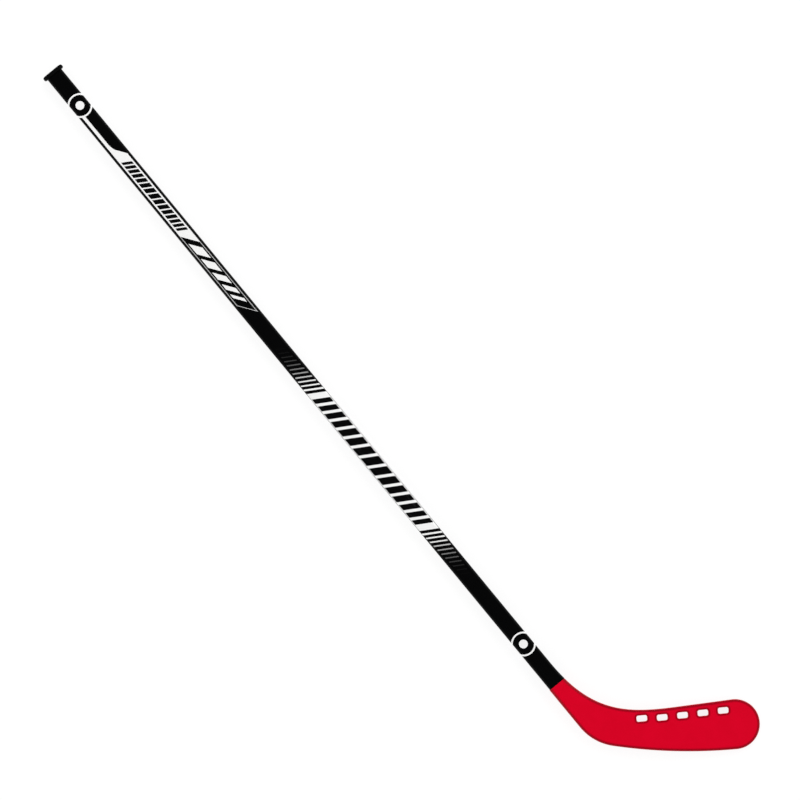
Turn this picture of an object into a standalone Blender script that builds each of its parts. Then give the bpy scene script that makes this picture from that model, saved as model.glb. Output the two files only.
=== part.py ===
"""Plastic street hockey stick: a hollow shaft, a butt cap plugged into one end, and a moulded blade whose cored
tang slides into the other end and is held there by two tapping screws.

The stick is modelled along +X from its butt face, with the wide faces towards +Z and -Z and the blade bending
towards +Y. An empty then carries all the pieces, so that the middle of the stick's base is the origin.
"""

import math

import bmesh
import bpy
import numpy as np

# The gap kept between pieces that touch, in metres as every length here
CLEARANCE = 0.0003

# Shaft: an extruded tube of rounded rectangular section, belled at its mouth on the side of the blade's bend
SHAFT_LENGTH = 1.2404
SHAFT_WIDTH = 0.028
SHAFT_THICKNESS = 0.019
SHAFT_CORNER = 0.0045
SHAFT_WALL = 0.0022
BELL_LENGTH = 0.032

# Butt cap: a flange with a rounded rim, and a hollow plug with sealing lips
FLANGE_THICKNESS = 0.0065
FLANGE_LIP_WIDE = 0.0044
FLANGE_LIP_THIN = 0.003
FLANGE_CORNER = 0.0085
RIM_OUTER_RADIUS = 0.0028
RIM_INNER_RADIUS = 0.0016
PLUG_LENGTH = 0.038
PLUG_WALL = 0.0018
PLUG_PLAY = 0.001
LIP_COUNT = 3
LIP_PITCH = 0.009
LIP_FIRST = 0.007
LIP_RAMP = 0.003

# Blade outline: the sole's frame starts at the heel corner, where the shaft's back edge would meet the sole
LIE_ANGLE = math.radians(50.5)
HOSEL_LENGTH = 0.125
HOSEL_STEP = 0.0008
HEEL_RADIUS = 0.083
ROCKER_RADIUS = 0.85
ROCKER_LOWEST = 0.140
BLADE_LENGTH = 0.251
TOE_RADIUS = 0.0395
TOP_RISE = math.radians(7.5)
THROAT_START = 0.120
THROAT_BLADE_PULL = 0.075
THROAT_SHAFT_PULL = 0.105

# Blade thickness, edge rounding and bow
TAPER_LENGTH = 0.115
BLADE_THICKNESS = 0.0085
TOE_THICKNESS = 0.0065
BLADE_EDGE = 0.0028
BOW_START = 0.055
BOW_DEPTH = 0.0092

# Slots through the blade, in a row below its top edge
SLOT_COUNT = 5
SLOT_FIRST = 0.065
SLOT_PITCH = 0.032
SLOT_LENGTH = 0.0173
SLOT_HEIGHT = 0.0105
SLOT_CORNER = 0.0032
SLOT_DROP = 0.0137
SLOT_SINK = 0.0005
SLOT_TILT = math.radians(5.5)

# Tang: the cored stub of the blade inside the shaft
TANG_LENGTH = 0.070
TANG_WALL = 0.0028
TANG_WEB = 0.003
TANG_LEAD = 0.0012
TANG_ROOT = 0.006
POCKET_CORNER = 0.002

# Screws: countersunk tapping screws through the shaft's underside into the tang's lands
SCREW_FIRST = 0.020
SCREW_SPACING = 0.030
SCREW_LENGTH = 0.0105
SCREW_RADIUS = 0.00175
SCREW_HEAD_RADIUS = 0.0034
SCREW_TIP = 0.002
SCREW_SINK = 0.0001
SCREW_CLEARANCE = 0.0004
LAND_RADIUS = 0.0045

# Steps of the curved surfaces
CORNER_STEPS = 5
BELL_STEPS = 6
BEND_STATIONS = 26
BLADE_STATIONS = 8
TOE_STATIONS = 9
TOE_GAP = math.radians(4)
CURVE_POINTS = 240
TURN_STEPS = 24
CUT_REACH = 0.02
SHARP_ANGLE = math.radians(35)

# Places that follow from the sizes
SHAFT_START = FLANGE_THICKNESS + CLEARANCE
SHAFT_END = SHAFT_START + SHAFT_LENGTH
JOINT_X = SHAFT_END + CLEARANCE
HEEL = np.array((JOINT_X + HOSEL_LENGTH, -SHAFT_WIDTH / 2))
ALONG_SOLE = np.array((math.cos(LIE_ANGLE), math.sin(LIE_ANGLE)))
UP_SOLE = np.array((-math.sin(LIE_ANGLE), math.cos(LIE_ANGLE)))
UP_Y = np.array((0.0, 1.0))


def to_shaft_frame(points):
    """Carries blade points (along the sole, height over it) into the stick's XY plane."""
    points = np.atleast_2d(points)
    return HEEL + points[:, :1] * ALONG_SOLE + points[:, 1:] * UP_SOLE


def along_sole(points):
    """How far points of the XY plane lie past the heel corner, measured along the sole."""
    return (points - HEEL) @ ALONG_SOLE


def line(start, end):
    t = np.linspace(0, 1, CURVE_POINTS)[:, None]
    return (1 - t) * np.asarray(start) + t * np.asarray(end)


def arc(centre, radius, first, last, count=CURVE_POINTS):
    angle = np.linspace(first, last, count)
    return np.asarray(centre) + radius * np.column_stack((np.cos(angle), np.sin(angle)))


def bezier(a, b, c, d):
    """A cubic curve from a to d that leaves towards b and arrives from c."""
    t = np.linspace(0, 1, CURVE_POINTS)[:, None]
    return (1 - t) ** 3 * a + 3 * (1 - t) ** 2 * t * b + 3 * (1 - t) * t**2 * c + t**3 * d


def resample(path, count):
    """Points evenly spaced by length along a path, both ends included."""
    run = np.concatenate(([0], np.cumsum(np.linalg.norm(np.diff(path, axis=0), axis=1))))
    wanted = np.linspace(0, run[-1], count)
    return np.column_stack([np.interp(wanted, run, path[:, k]) for k in range(path.shape[1])])


def smooth_step(x):
    x = np.clip(x, 0, 1)
    return x * x * (3 - 2 * x)


def heading(vector):
    return math.atan2(vector[1], vector[0])


class BladeOutline:
    """The blade's edges in the sole's frame, from the named radii and angles.

    The back edge runs on from the shaft, the heel arc turns it into the sole's rocker arc, the toe is a round
    tangent to the rocker and to the straight top edge, and the throat curve leads the top edge to the shaft.
    """

    def __init__(self):
        self.rocker = np.array((ROCKER_LOWEST, ROCKER_RADIUS))
        shaft_way = np.array((math.cos(LIE_ANGLE), -math.sin(LIE_ANGLE)))
        back_out = np.array((-math.sin(LIE_ANGLE), -math.cos(LIE_ANGLE)))
        self.hosel_back = HOSEL_STEP * back_out - HOSEL_LENGTH * shaft_way

        # The heel arc's centre: its radius inside the back edge and inside the rocker circle
        offset = (HOSEL_STEP - HEEL_RADIUS) * back_out - self.rocker
        half_b = offset @ shaft_way
        inner = ROCKER_RADIUS - HEEL_RADIUS
        run = -half_b + math.sqrt(half_b**2 - offset @ offset + inner**2)
        self.heel = self.rocker + offset + run * shaft_way
        self.heel_first = heading(back_out)
        self.heel_last = heading(self.heel - self.rocker)

        # The toe round's centre: its radius inside the blade's end and inside the rocker circle
        toe_along = BLADE_LENGTH - TOE_RADIUS
        reach = math.sqrt((ROCKER_RADIUS - TOE_RADIUS) ** 2 - (toe_along - ROCKER_LOWEST) ** 2)
        self.toe = np.array((toe_along, ROCKER_RADIUS - reach))
        self.toe_first = heading(self.toe - self.rocker)
        self.toe_last = math.pi / 2 + TOP_RISE

    def sole_heading(self, along):
        """The angle, from the rocker's centre, of the sole point at this distance along it."""
        return -math.acos(np.clip((along - ROCKER_LOWEST) / ROCKER_RADIUS, -1, 1))

    def top_edge(self, along):
        """The top edge's straight stretch, a tangent to the toe round."""
        height = self.toe[1] + TOE_RADIUS / math.cos(TOP_RISE)
        return np.array((along, height + (along - self.toe[0]) * math.tan(TOP_RISE)))

    def throat(self):
        """The whole throat curve in the stick's frame, from the shaft's plain stretch to the straight top edge."""
        start = np.array((SHAFT_END - BELL_LENGTH, SHAFT_WIDTH / 2))
        end = to_shaft_frame(self.top_edge(THROAT_START))[0]
        rise = LIE_ANGLE + TOP_RISE
        back = np.array((math.cos(rise), math.sin(rise)))
        ahead = start + THROAT_SHAFT_PULL * np.array((1.0, 0.0))
        return bezier(start, ahead, end - THROAT_BLADE_PULL * back, end)

    def edges(self):
        """Matching points of the lower and upper edge from the joint to the toe, in the stick's frame."""
        middle = (self.toe_first + self.toe_last) / 2
        sole_start = self.sole_heading(THROAT_START)
        lower_bend = np.concatenate((
            line(self.hosel_back, self.heel + HEEL_RADIUS * unit(self.heel_first)),
            arc(self.heel, HEEL_RADIUS, self.heel_first, self.heel_last),
            arc(self.rocker, ROCKER_RADIUS, self.heel_last, sole_start),
        ))
        lower_sole = arc(self.rocker, ROCKER_RADIUS, sole_start, self.toe_first)
        upper_line = line(self.top_edge(THROAT_START), self.toe + TOE_RADIUS * unit(self.toe_last))
        lower_toe = arc(self.toe, TOE_RADIUS, self.toe_first, middle - TOE_GAP, TOE_STATIONS + 1)
        upper_toe = arc(self.toe, TOE_RADIUS, self.toe_last, middle + TOE_GAP, TOE_STATIONS + 1)

        throat = self.throat()
        joint_y = np.interp(JOINT_X, throat[:, 0], throat[:, 1])
        upper_bend = np.concatenate(([(JOINT_X, joint_y)], throat[throat[:, 0] > JOINT_X]))

        lower = np.concatenate((
            to_shaft_frame(resample(lower_bend, BEND_STATIONS + 1))[:-1],
            to_shaft_frame(resample(lower_sole, BLADE_STATIONS + 1))[:-1],
            to_shaft_frame(lower_toe),
        ))
        upper = np.concatenate((
            resample(upper_bend, BEND_STATIONS + 1)[:-1],
            to_shaft_frame(resample(upper_line, BLADE_STATIONS + 1))[:-1],
            to_shaft_frame(upper_toe),
        ))
        return lower, upper

    def slot_centre(self, number):
        """A slot's centre in the stick's frame, its drop below the top edge and a little lower than the last."""
        straight = to_shaft_frame(line(self.top_edge(THROAT_START), self.top_edge(BLADE_LENGTH)))
        edge = np.concatenate((self.throat(), straight[1:]))
        along = SLOT_FIRST + number * SLOT_PITCH
        place = [np.interp(along, along_sole(edge), edge[:, axis]) for axis in range(2)]
        return np.array(place) - (SLOT_DROP + number * SLOT_SINK) * UP_SOLE


def unit(angle):
    return np.array((math.cos(angle), math.sin(angle)))


OUTLINE = BladeOutline()


def outer_edge_y(x):
    """The shaft's edge on the side of the bend: straight, then following the throat curve in the bell."""
    throat = OUTLINE.throat()
    return SHAFT_WIDTH / 2 if x <= throat[0, 0] else float(np.interp(x, throat[:, 0], throat[:, 1]))


def bow(points):
    """How far the blade's curve carries a point towards -Z, growing with the square of its distance."""
    share = (along_sole(points) - BOW_START) / (BLADE_LENGTH - BOW_START)
    return -BOW_DEPTH * np.clip(share, 0, None) ** 2


def section(lower, upper, lower_in, upper_in, half, radius):
    """One ring of a loft, a rounded rectangle between two edge points of the XY plane.

    Round each edge the ring goes inward by radius * (1 - cos t) while it rises to half - radius + radius * sin t.
    It starts at the upper edge and goes round by +Z, the lower edge and -Z.
    """
    t = np.linspace(0, math.pi / 2, CORNER_STEPS + 1)[:, None]
    inset = radius * (1 - np.cos(t))
    height = half - radius + radius * np.sin(t)
    upper_side = np.hstack((upper + inset * upper_in, height))
    lower_side = np.hstack((lower + inset * lower_in, height))
    mirrored = np.array((1, 1, -1))
    return np.concatenate((upper_side, lower_side[::-1], lower_side * mirrored, upper_side[::-1] * mirrored))


def box_section(x, low_y, high_y, half, radius):
    """A section square to the shaft."""
    return section((x, low_y), (x, high_y), UP_Y, -UP_Y, half, radius)


def shade(mesh):
    """Smooth over the rounds, sharp where faces meet at more than the sharp angle."""
    mesh.shade_smooth()
    mesh.set_sharp_from_angle(angle=SHARP_ANGLE)


def new_object(name, bm, material=None):
    """Turns a bmesh into a smooth-shaded object, or into a hidden cutter where it has no material."""
    bmesh.ops.recalc_face_normals(bm, faces=bm.faces)
    mesh = bpy.data.meshes.new(name)
    bm.to_mesh(mesh)
    bm.free()
    shade(mesh)
    piece = bpy.data.objects.new(name, mesh)
    bpy.context.scene.collection.objects.link(piece)
    if material:
        mesh.materials.append(material)
    else:
        piece.hide_render = True
        piece.display_type = "WIRE"
    return piece


def plastic(name, color, roughness, metallic=0.0):
    material = bpy.data.materials.new(name)
    material.use_nodes = True
    shader = material.node_tree.nodes["Principled BSDF"]
    shader.inputs["Base Color"].default_value = (*color, 1)
    shader.inputs["Roughness"].default_value = roughness
    shader.inputs["Metallic"].default_value = metallic
    return material


def skin(bm, rings, closed=False):
    """Joins rings of equally many points with quads, and returns the rings' vertices."""
    loops = [[bm.verts.new(point) for point in ring] for ring in rings]
    pairs = list(zip(loops, loops[1:]))
    if closed:
        pairs.append((loops[-1], loops[0]))
    for near, far in pairs:
        for j in range(len(near)):
            k = (j + 1) % len(near)
            bm.faces.new((near[j], near[k], far[k], far[j]))
    return loops


def cut(piece, *cutters):
    """Takes each cutter out of the piece, keeps the result as its mesh and shades the new edges."""
    for cutter in cutters:
        modifier = piece.modifiers.new(cutter.name, "BOOLEAN")
        modifier.operation = "DIFFERENCE"
        modifier.solver = "EXACT"
        modifier.object = cutter
    evaluated = piece.evaluated_get(bpy.context.evaluated_depsgraph_get())
    piece.data = bpy.data.meshes.new_from_object(evaluated)
    piece.modifiers.clear()
    shade(piece.data)


def prism(bm, centre, way, length, height, corner, low, high):
    """Adds an upright prism whose outline is a rounded rectangle of the XY plane, its length along way."""
    across = np.array((-way[1], way[0]))
    outline = []
    for turn, (u, v) in enumerate(((1, 1), (-1, 1), (-1, -1), (1, -1))):
        middle = (u * (length / 2 - corner), v * (height / 2 - corner))
        first = turn * math.pi / 2
        outline.extend(arc(middle, corner, first, first + math.pi / 2, CORNER_STEPS))
    flat = [centre + u * way + v * across for u, v in outline]
    loops = skin(bm, [[(*point, z) for point in flat] for z in (low, high)])
    bm.faces.new(loops[0][::-1])
    bm.faces.new(loops[1])


def turned(bm, x, profile):
    """Adds a solid of revolution about an upright axis on the shaft's centre line at x.

    profile lists (radius, height) from the axis round to the axis again.
    """
    points = [bm.verts.new((x + radius, 0, height)) for radius, height in profile]
    edges = [bm.edges.new(pair) for pair in zip(points, points[1:])]
    bmesh.ops.spin(bm, geom=points + edges, cent=(x, 0, 0), axis=(0, 0, 1), angle=math.tau, steps=TURN_STEPS)
    bmesh.ops.remove_doubles(bm, verts=bm.verts, dist=1e-6)


def screw_places():
    return [JOINT_X - SCREW_FIRST - k * SCREW_SPACING for k in range(2)]


def screw_profile(spare):
    """A countersunk screw, head down, or the hole for it where spare widens it all round."""
    face = -SHAFT_THICKNESS / 2
    head = face - CUT_REACH if spare else face + SCREW_SINK
    neck = face + SCREW_SINK + SCREW_HEAD_RADIUS - SCREW_RADIUS
    end = face + SCREW_LENGTH + spare
    profile = [(0, head), (SCREW_HEAD_RADIUS + spare, head)]
    if spare:
        profile.append((SCREW_HEAD_RADIUS + spare, face + SCREW_SINK))
    profile += [
        (SCREW_RADIUS + spare, neck),
        (SCREW_RADIUS + spare, end - SCREW_TIP),
        (0, end),
    ]
    return profile


def make_screw_holes():
    bm = bmesh.new()
    for x in screw_places():
        turned(bm, x, screw_profile(SCREW_CLEARANCE))
    return new_object("screw_hole_cutter", bm)


def make_shaft():
    """The tube: outer rings from butt to mouth, then inner rings back, joined into one closed skin."""
    half = SHAFT_THICKNESS / 2
    stations = [SHAFT_START, *np.linspace(SHAFT_END - BELL_LENGTH, SHAFT_END, BELL_STEPS)]
    outer = [box_section(x, -SHAFT_WIDTH / 2, outer_edge_y(x), half, SHAFT_CORNER) for x in stations]
    inner = [
        box_section(x, SHAFT_WALL - SHAFT_WIDTH / 2, outer_edge_y(x) - SHAFT_WALL, half - SHAFT_WALL,
                    SHAFT_CORNER - SHAFT_WALL)
        for x in reversed(stations)
    ]
    bm = bmesh.new()
    skin(bm, outer + inner, closed=True)
    return new_object("shaft", bm, plastic("black_shaft_plastic", (0.006, 0.006, 0.007), 0.32))


def rim_profile():
    """The flange's rim as (inset, x) pairs: a large round outside, a small one towards the shaft."""
    t = np.linspace(0, math.pi / 2, CORNER_STEPS + 1)
    outside = [
        (RIM_OUTER_RADIUS * (1 - math.sin(a)), RIM_OUTER_RADIUS * (1 - math.cos(a))) for a in t
    ]
    inside = [
        (RIM_INNER_RADIUS * (1 - math.cos(a)), FLANGE_THICKNESS - RIM_INNER_RADIUS * (1 - math.sin(a)))
        for a in t
    ]
    return outside + inside


def plug_profile():
    """The plug's outside as (play, x) pairs: it nears the bore at each lip and stands back between them."""
    profile = [(PLUG_PLAY, FLANGE_THICKNESS)]
    for k in range(LIP_COUNT):
        start = FLANGE_THICKNESS + LIP_FIRST + k * LIP_PITCH
        profile += [(PLUG_PLAY, start), (CLEARANCE, start), (PLUG_PLAY, start + LIP_RAMP)]
    end = FLANGE_THICKNESS + PLUG_LENGTH
    return profile + [(PLUG_PLAY, end - PLUG_PLAY), (2 * PLUG_PLAY, end)]


def make_butt_cap():
    """Flange, lipped plug and the plug's hollow, as one run of sections along X."""
    bore_y = SHAFT_WIDTH / 2 - SHAFT_WALL
    bore_z = SHAFT_THICKNESS / 2 - SHAFT_WALL
    bore_corner = SHAFT_CORNER - SHAFT_WALL
    wide = SHAFT_WIDTH / 2 + FLANGE_LIP_WIDE
    thin = SHAFT_THICKNESS / 2 + FLANGE_LIP_THIN

    def plug(x, play):
        radius = max(bore_corner - play, CLEARANCE)
        return box_section(x, play - bore_y, bore_y - play, bore_z - play, radius)

    rings = [
        box_section(x, inset - wide, wide - inset, thin - inset, FLANGE_CORNER - inset)
        for inset, x in rim_profile()
    ]
    rings += [plug(x, play) for play, x in plug_profile()]
    hollow = 2 * PLUG_PLAY + PLUG_WALL
    rings += [plug(FLANGE_THICKNESS + PLUG_LENGTH, hollow), plug(FLANGE_THICKNESS, hollow)]
    bm = bmesh.new()
    loops = skin(bm, rings)
    bm.faces.new(loops[0][::-1])
    bm.faces.new(loops[-1])
    return new_object("butt_cap", bm, plastic("black_cap_rubber", (0.008, 0.008, 0.008), 0.55))


def tang_rings():
    """The tang's sections, a clearance inside the shaft's bore, from its tapered end to the joint."""
    half = SHAFT_THICKNESS / 2 - SHAFT_WALL - CLEARANCE
    low = SHAFT_WALL + CLEARANCE - SHAFT_WIDTH / 2
    radius = SHAFT_CORNER - SHAFT_WALL - CLEARANCE
    start = JOINT_X - TANG_LENGTH
    stations = [start + TANG_LEAD, *np.linspace(SHAFT_END - BELL_LENGTH, JOINT_X, BELL_STEPS)]
    rings = [
        box_section(x, low, outer_edge_y(x) - SHAFT_WALL - CLEARANCE, half, radius) for x in stations
    ]
    tip = box_section(start, low + TANG_LEAD, -low - TANG_LEAD, half - TANG_LEAD, radius)
    return [tip, *rings]


def blade_rings():
    """The blade's sections from the joint to the toe.

    The edge points come from the outline, and the inward directions are square to it. The thickness falls
    smoothly from the hosel to the blade, then evenly to the toe, and each point is bowed by its place.
    """
    lower, upper = OUTLINE.edges()
    lower_way = np.gradient(lower, axis=0)
    upper_way = np.gradient(upper, axis=0)
    lower_in = np.column_stack((-lower_way[:, 1], lower_way[:, 0])) / np.linalg.norm(lower_way, axis=1)[:, None]
    upper_in = np.column_stack((upper_way[:, 1], -upper_way[:, 0])) / np.linalg.norm(upper_way, axis=1)[:, None]
    lower_in[0], upper_in[0] = UP_Y, -UP_Y

    middle = (lower + upper) / 2
    run = np.concatenate(([0], np.cumsum(np.linalg.norm(np.diff(middle, axis=0), axis=1))))
    taper = smooth_step(run / TAPER_LENGTH)
    thinning = np.clip((run - TAPER_LENGTH) / (run[-1] - TAPER_LENGTH), 0, 1)
    hosel_half = SHAFT_THICKNESS / 2 + HOSEL_STEP
    half = hosel_half + (BLADE_THICKNESS / 2 - hosel_half) * taper
    half += (TOE_THICKNESS - BLADE_THICKNESS) / 2 * thinning
    radius = SHAFT_CORNER + HOSEL_STEP + (BLADE_EDGE - SHAFT_CORNER - HOSEL_STEP) * taper

    rings = []
    for k in range(len(lower)):
        ring = section(lower[k], upper[k], lower_in[k], upper_in[k], half[k], radius[k])
        ring[:, 2] += bow(ring[:, :2])
        rings.append(ring)
    return rings


def close_toe(bm, ring):
    """Closes the toe with a ladder of quads between the last section's upper and lower edges."""
    side = CORNER_STEPS + 1
    for first in (0, 2 * side):
        for j in range(side - 1):
            a, b = first + j, first + 2 * side - 1 - j
            bm.faces.new((ring[a], ring[a + 1], ring[b - 1], ring[b]))
    bm.faces.new((ring[0], ring[2 * side - 1], ring[2 * side], ring[4 * side - 1]))


def make_blade():
    """The moulding: tang, shoulder, hosel and blade in one skin, then the pockets, slots and screw holes."""
    bm = bmesh.new()
    loops = skin(bm, tang_rings() + blade_rings())
    bm.faces.new(loops[0][::-1])
    close_toe(bm, loops[-1])
    return new_object("blade", bm, plastic("red_blade_plastic", (0.68, 0.002, 0.018), 0.38))


def make_slot_cutter():
    way = unit(LIE_ANGLE + SLOT_TILT)
    bm = bmesh.new()
    for number in range(SLOT_COUNT):
        centre = OUTLINE.slot_centre(number)
        prism(bm, centre, way, SLOT_LENGTH, SLOT_HEIGHT, SLOT_CORNER, -CUT_REACH, CUT_REACH)
    return new_object("slot_cutter", bm)


def make_pocket_cutter():
    """Pockets in both faces of the tang, which leave a web, side walls and a land round each screw."""
    near, far = screw_places()
    spans = (
        (JOINT_X - TANG_LENGTH + TANG_LEAD + TANG_WALL, far - LAND_RADIUS),
        (far + LAND_RADIUS, near - LAND_RADIUS),
        (near + LAND_RADIUS, JOINT_X - TANG_ROOT),
    )
    width = SHAFT_WIDTH - 2 * (SHAFT_WALL + CLEARANCE + TANG_WALL)
    bm = bmesh.new()
    for start, end in spans:
        centre = np.array(((start + end) / 2, 0.0))
        for low, high in ((TANG_WEB / 2, CUT_REACH), (-CUT_REACH, -TANG_WEB / 2)):
            prism(bm, centre, unit(0), end - start, width, POCKET_CORNER, low, high)
    return new_object("pocket_cutter", bm)


def make_screw(name, x):
    bm = bmesh.new()
    turned(bm, x, screw_profile(0))
    return new_object(name, bm, plastic(name + "_steel", (0.55, 0.55, 0.56), 0.3, metallic=1.0))


def stand_on_origin(pieces):
    """Carries the pieces on an empty that puts the middle of the stick's base at the origin."""
    points = np.array([vertex.co for piece in pieces for vertex in piece.data.vertices])
    low, high = points.min(axis=0), points.max(axis=0)
    carrier = bpy.data.objects.new("hockey_stick", None)
    bpy.context.scene.collection.objects.link(carrier)
    carrier.location = (-(low[0] + high[0]) / 2, -(low[1] + high[1]) / 2, -low[2])
    return carrier


def main():
    for old in list(bpy.data.objects):
        bpy.data.objects.remove(old, do_unlink=True)

    shaft = make_shaft()
    blade = make_blade()
    butt_cap = make_butt_cap()
    screws = [make_screw(f"blade_screw_{k + 1}", x) for k, x in enumerate(screw_places())]

    slots = make_slot_cutter()
    pockets = make_pocket_cutter()
    screw_holes = make_screw_holes()
    cut(blade, slots, pockets, screw_holes)
    cut(shaft, screw_holes)

    pieces = [shaft, blade, butt_cap, *screws]
    carrier = stand_on_origin(pieces)
    for piece in [*pieces, slots, pockets, screw_holes]:
        piece.parent = carrier


main()
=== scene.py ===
"""Looks of the plastic street hockey stick.

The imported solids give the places. Every piece here is a finer surface over one of them, worked out in the
stick's own frame: x runs from the butt face along the shaft, y towards the side that the blade bends to, and
z out of the wide face that looks up. ORIGIN carries that frame into the row frame.
"""

import math

import bmesh
import bpy
import numpy as np
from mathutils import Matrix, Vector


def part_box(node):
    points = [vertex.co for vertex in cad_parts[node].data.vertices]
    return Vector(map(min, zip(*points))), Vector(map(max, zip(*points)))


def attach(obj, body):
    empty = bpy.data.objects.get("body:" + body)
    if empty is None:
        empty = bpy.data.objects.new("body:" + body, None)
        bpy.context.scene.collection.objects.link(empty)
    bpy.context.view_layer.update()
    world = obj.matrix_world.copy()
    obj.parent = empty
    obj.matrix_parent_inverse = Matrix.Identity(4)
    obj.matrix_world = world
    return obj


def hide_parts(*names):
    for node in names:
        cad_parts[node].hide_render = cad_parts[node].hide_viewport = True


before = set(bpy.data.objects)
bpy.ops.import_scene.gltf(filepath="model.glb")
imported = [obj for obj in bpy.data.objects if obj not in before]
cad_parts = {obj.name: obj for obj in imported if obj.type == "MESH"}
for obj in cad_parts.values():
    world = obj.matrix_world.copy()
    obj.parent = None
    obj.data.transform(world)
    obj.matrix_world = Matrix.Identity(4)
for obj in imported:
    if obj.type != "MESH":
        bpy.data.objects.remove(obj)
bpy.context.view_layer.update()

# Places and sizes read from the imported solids, in metres
CAP_LOW, CAP_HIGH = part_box("butt_cap")
TUBE_LOW, TUBE_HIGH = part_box("shaft")
ORIGIN = np.array((CAP_LOW.x, (CAP_LOW.y + CAP_HIGH.y) / 2, (CAP_LOW.z + CAP_HIGH.z) / 2))
SHAFT_START = TUBE_LOW.x - CAP_LOW.x
SHAFT_END = TUBE_HIGH.x - CAP_LOW.x
HALF_WIDTH = ORIGIN[1] - TUBE_LOW.y
HALF_THICK = ORIGIN[2] - TUBE_LOW.z
FLANGE_HALF_WIDTH = (CAP_HIGH.y - CAP_LOW.y) / 2
FLANGE_HALF_THICK = (CAP_HIGH.z - CAP_LOW.z) / 2
PLUG_END = CAP_HIGH.x - CAP_LOW.x
CLEARANCE = 0.0003
JOINT_X = SHAFT_END + CLEARANCE

# Shaft: corner, wall, the softened edge of its ends, and the bell at its mouth
SHAFT_CORNER = 0.0045
SHAFT_WALL = 0.0022
END_SOFTENING = 0.0004
BELL_LENGTH = 0.032

# Butt cap. The edges of its dish, gate mark and round middle are shares of the way out to the rim
FLANGE_THICKNESS = SHAFT_START - CLEARANCE
FLANGE_CORNER = 0.0085
RIM_OUTER_RADIUS = 0.0031
RIM_INNER_RADIUS = 0.0024
DISH_DEPTH = 0.0009
DISH_EDGE = (0.80, 0.93)
GATE_EDGE = (0.08, 0.16)
GATE_DEPTH = 0.0004
ROUND_END = (0.2, 0.8)
PLUG_WALL = 0.0018
PLUG_PLAY = 0.001
PLUG_BEVEL = 0.001
LIP_COUNT = 3
LIP_PITCH = 0.009
LIP_FIRST = 0.007
LIP_RAMP = 0.003

# Blade outline in the sole's frame, which starts at the heel corner
LIE_ANGLE = math.radians(50.5)
HOSEL_LENGTH = 0.125
HOSEL_STEP = 0.0008
HOSEL_ROUND = 0.0006
HEEL_RADIUS = 0.083
ROCKER_RADIUS = 0.85
ROCKER_LOWEST = 0.140
BLADE_LENGTH = 0.251
TOE_RADIUS = 0.0395
TOP_RISE = math.radians(7.5)
THROAT_START = 0.120
THROAT_BLADE_PULL = 0.075
THROAT_SHAFT_PULL = 0.105

# Blade thickness, edge rounding, the mould line with its half widths at foot and crest, and bow
TAPER_LENGTH = 0.115
BLADE_THICKNESS = 0.0085
TOE_THICKNESS = 0.0065
BLADE_EDGE = 0.0028
MOULD_LINE_HEIGHT = 0.00012
MOULD_LINE_WIDTH = 0.0007
MOULD_LINE_FOOT = MOULD_LINE_WIDTH / 2
MOULD_LINE_CREST = MOULD_LINE_WIDTH / 6
MOULD_LINE_SHOULDER = 0.25
EDGE_INSET = 2 * MOULD_LINE_HEIGHT
BOW_START = 0.055
BOW_DEPTH = 0.0092

# Slots through the blade. Each lies a little lower than the last, by SLOT_SINK
SLOT_COUNT = 5
SLOT_FIRST = 0.065
SLOT_PITCH = 0.032
SLOT_LENGTH = 0.0167
SLOT_HEIGHT = 0.0097
SLOT_CORNER = 0.0032
SLOT_DROP = 0.0137
SLOT_SINK = 0.0005
SLOT_TILT = math.radians(5.5)
SLOT_RIM = 0.0007
# SLOT_SHADE is how far out round each slot the painted shade stays full
SLOT_SHADE = 0.0015
SLOT_MARGIN = 0.0034

# The blade's painted edge shade, a darker rim painted where the rounded edges fall into shade: its level on
# the edge itself, where it is full, and where it fades out
EDGE_SHADE_START = 0.2
EDGE_SHADE_FULL = 0.0014
EDGE_SHADE_FADE = (0.0024, 0.0056)
SLOT_SHADE_FADE = (0.0017, 0.0044)

# Tang, its pockets, and the screws that hold it
TANG_LENGTH = 0.070
TANG_LEAD = 0.0012
TANG_WALL = 0.0028
TANG_WEB = 0.003
TANG_ROOT = 0.006
LAND_RADIUS = 0.0045
POCKET_CORNER = 0.002
POCKET_MARGIN = 0.0004
SCREW_COUNT = 2
SCREW_FIRST = 0.020
SCREW_SPACING = 0.030
SCREW_RADIUS = 0.00175
SCREW_ROOT = 0.00135
SCREW_HEAD_RADIUS = 0.0034
SCREW_TIP = 0.002
SCREW_SINK = 0.0001
SCREW_CLEARANCE = 0.0004
SCREW_PITCH = 0.0013
THREAD_SHARPNESS = 1.7
RECESS_REACH = 0.0020
RECESS_WIDTH = 0.00085
RECESS_DEPTH = 0.0015
RECESS_CURVE = 0.6
RECESS_SOFTENING = 0.00012
HOLE_MARGIN = 0.0022

# Steps of the surfaces. TOE_GAP is the angle from the last station's ends to the middle of the toe round
CORNER_STEPS = 14
FACE_STEPS = 14
CURVE_POINTS = 1200
BELL_STEPS = 28
SHAFT_HOLE_STEP = 0.0014
BEND_STATIONS = 156
BLADE_STATIONS = 66
TOE_STATIONS = 40
BLADE_ROWS = 48
POCKET_COLUMNS = (1, BLADE_ROWS - 1)
HOLE_SPREAD = 7
HOLE_COLUMNS = (BLADE_ROWS // 2 - HOLE_SPREAD, BLADE_ROWS // 2 + HOLE_SPREAD)
EDGE_ARC_STEPS = 8
TOE_GAP = math.radians(4)
RIM_STEPS = 10
FACE_RINGS = 30
PATCH_RINGS = 5
FILLET_STEPS = 4
HALF_ARC_STEPS = 4
TANG_STEPS = 100
SCREW_ANGLES = 128
SCREW_HEAD_RINGS = 48
SCREW_SHANK_RINGS = 84
SHARP_ANGLE = math.radians(38)
WELD = 2e-6

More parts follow.
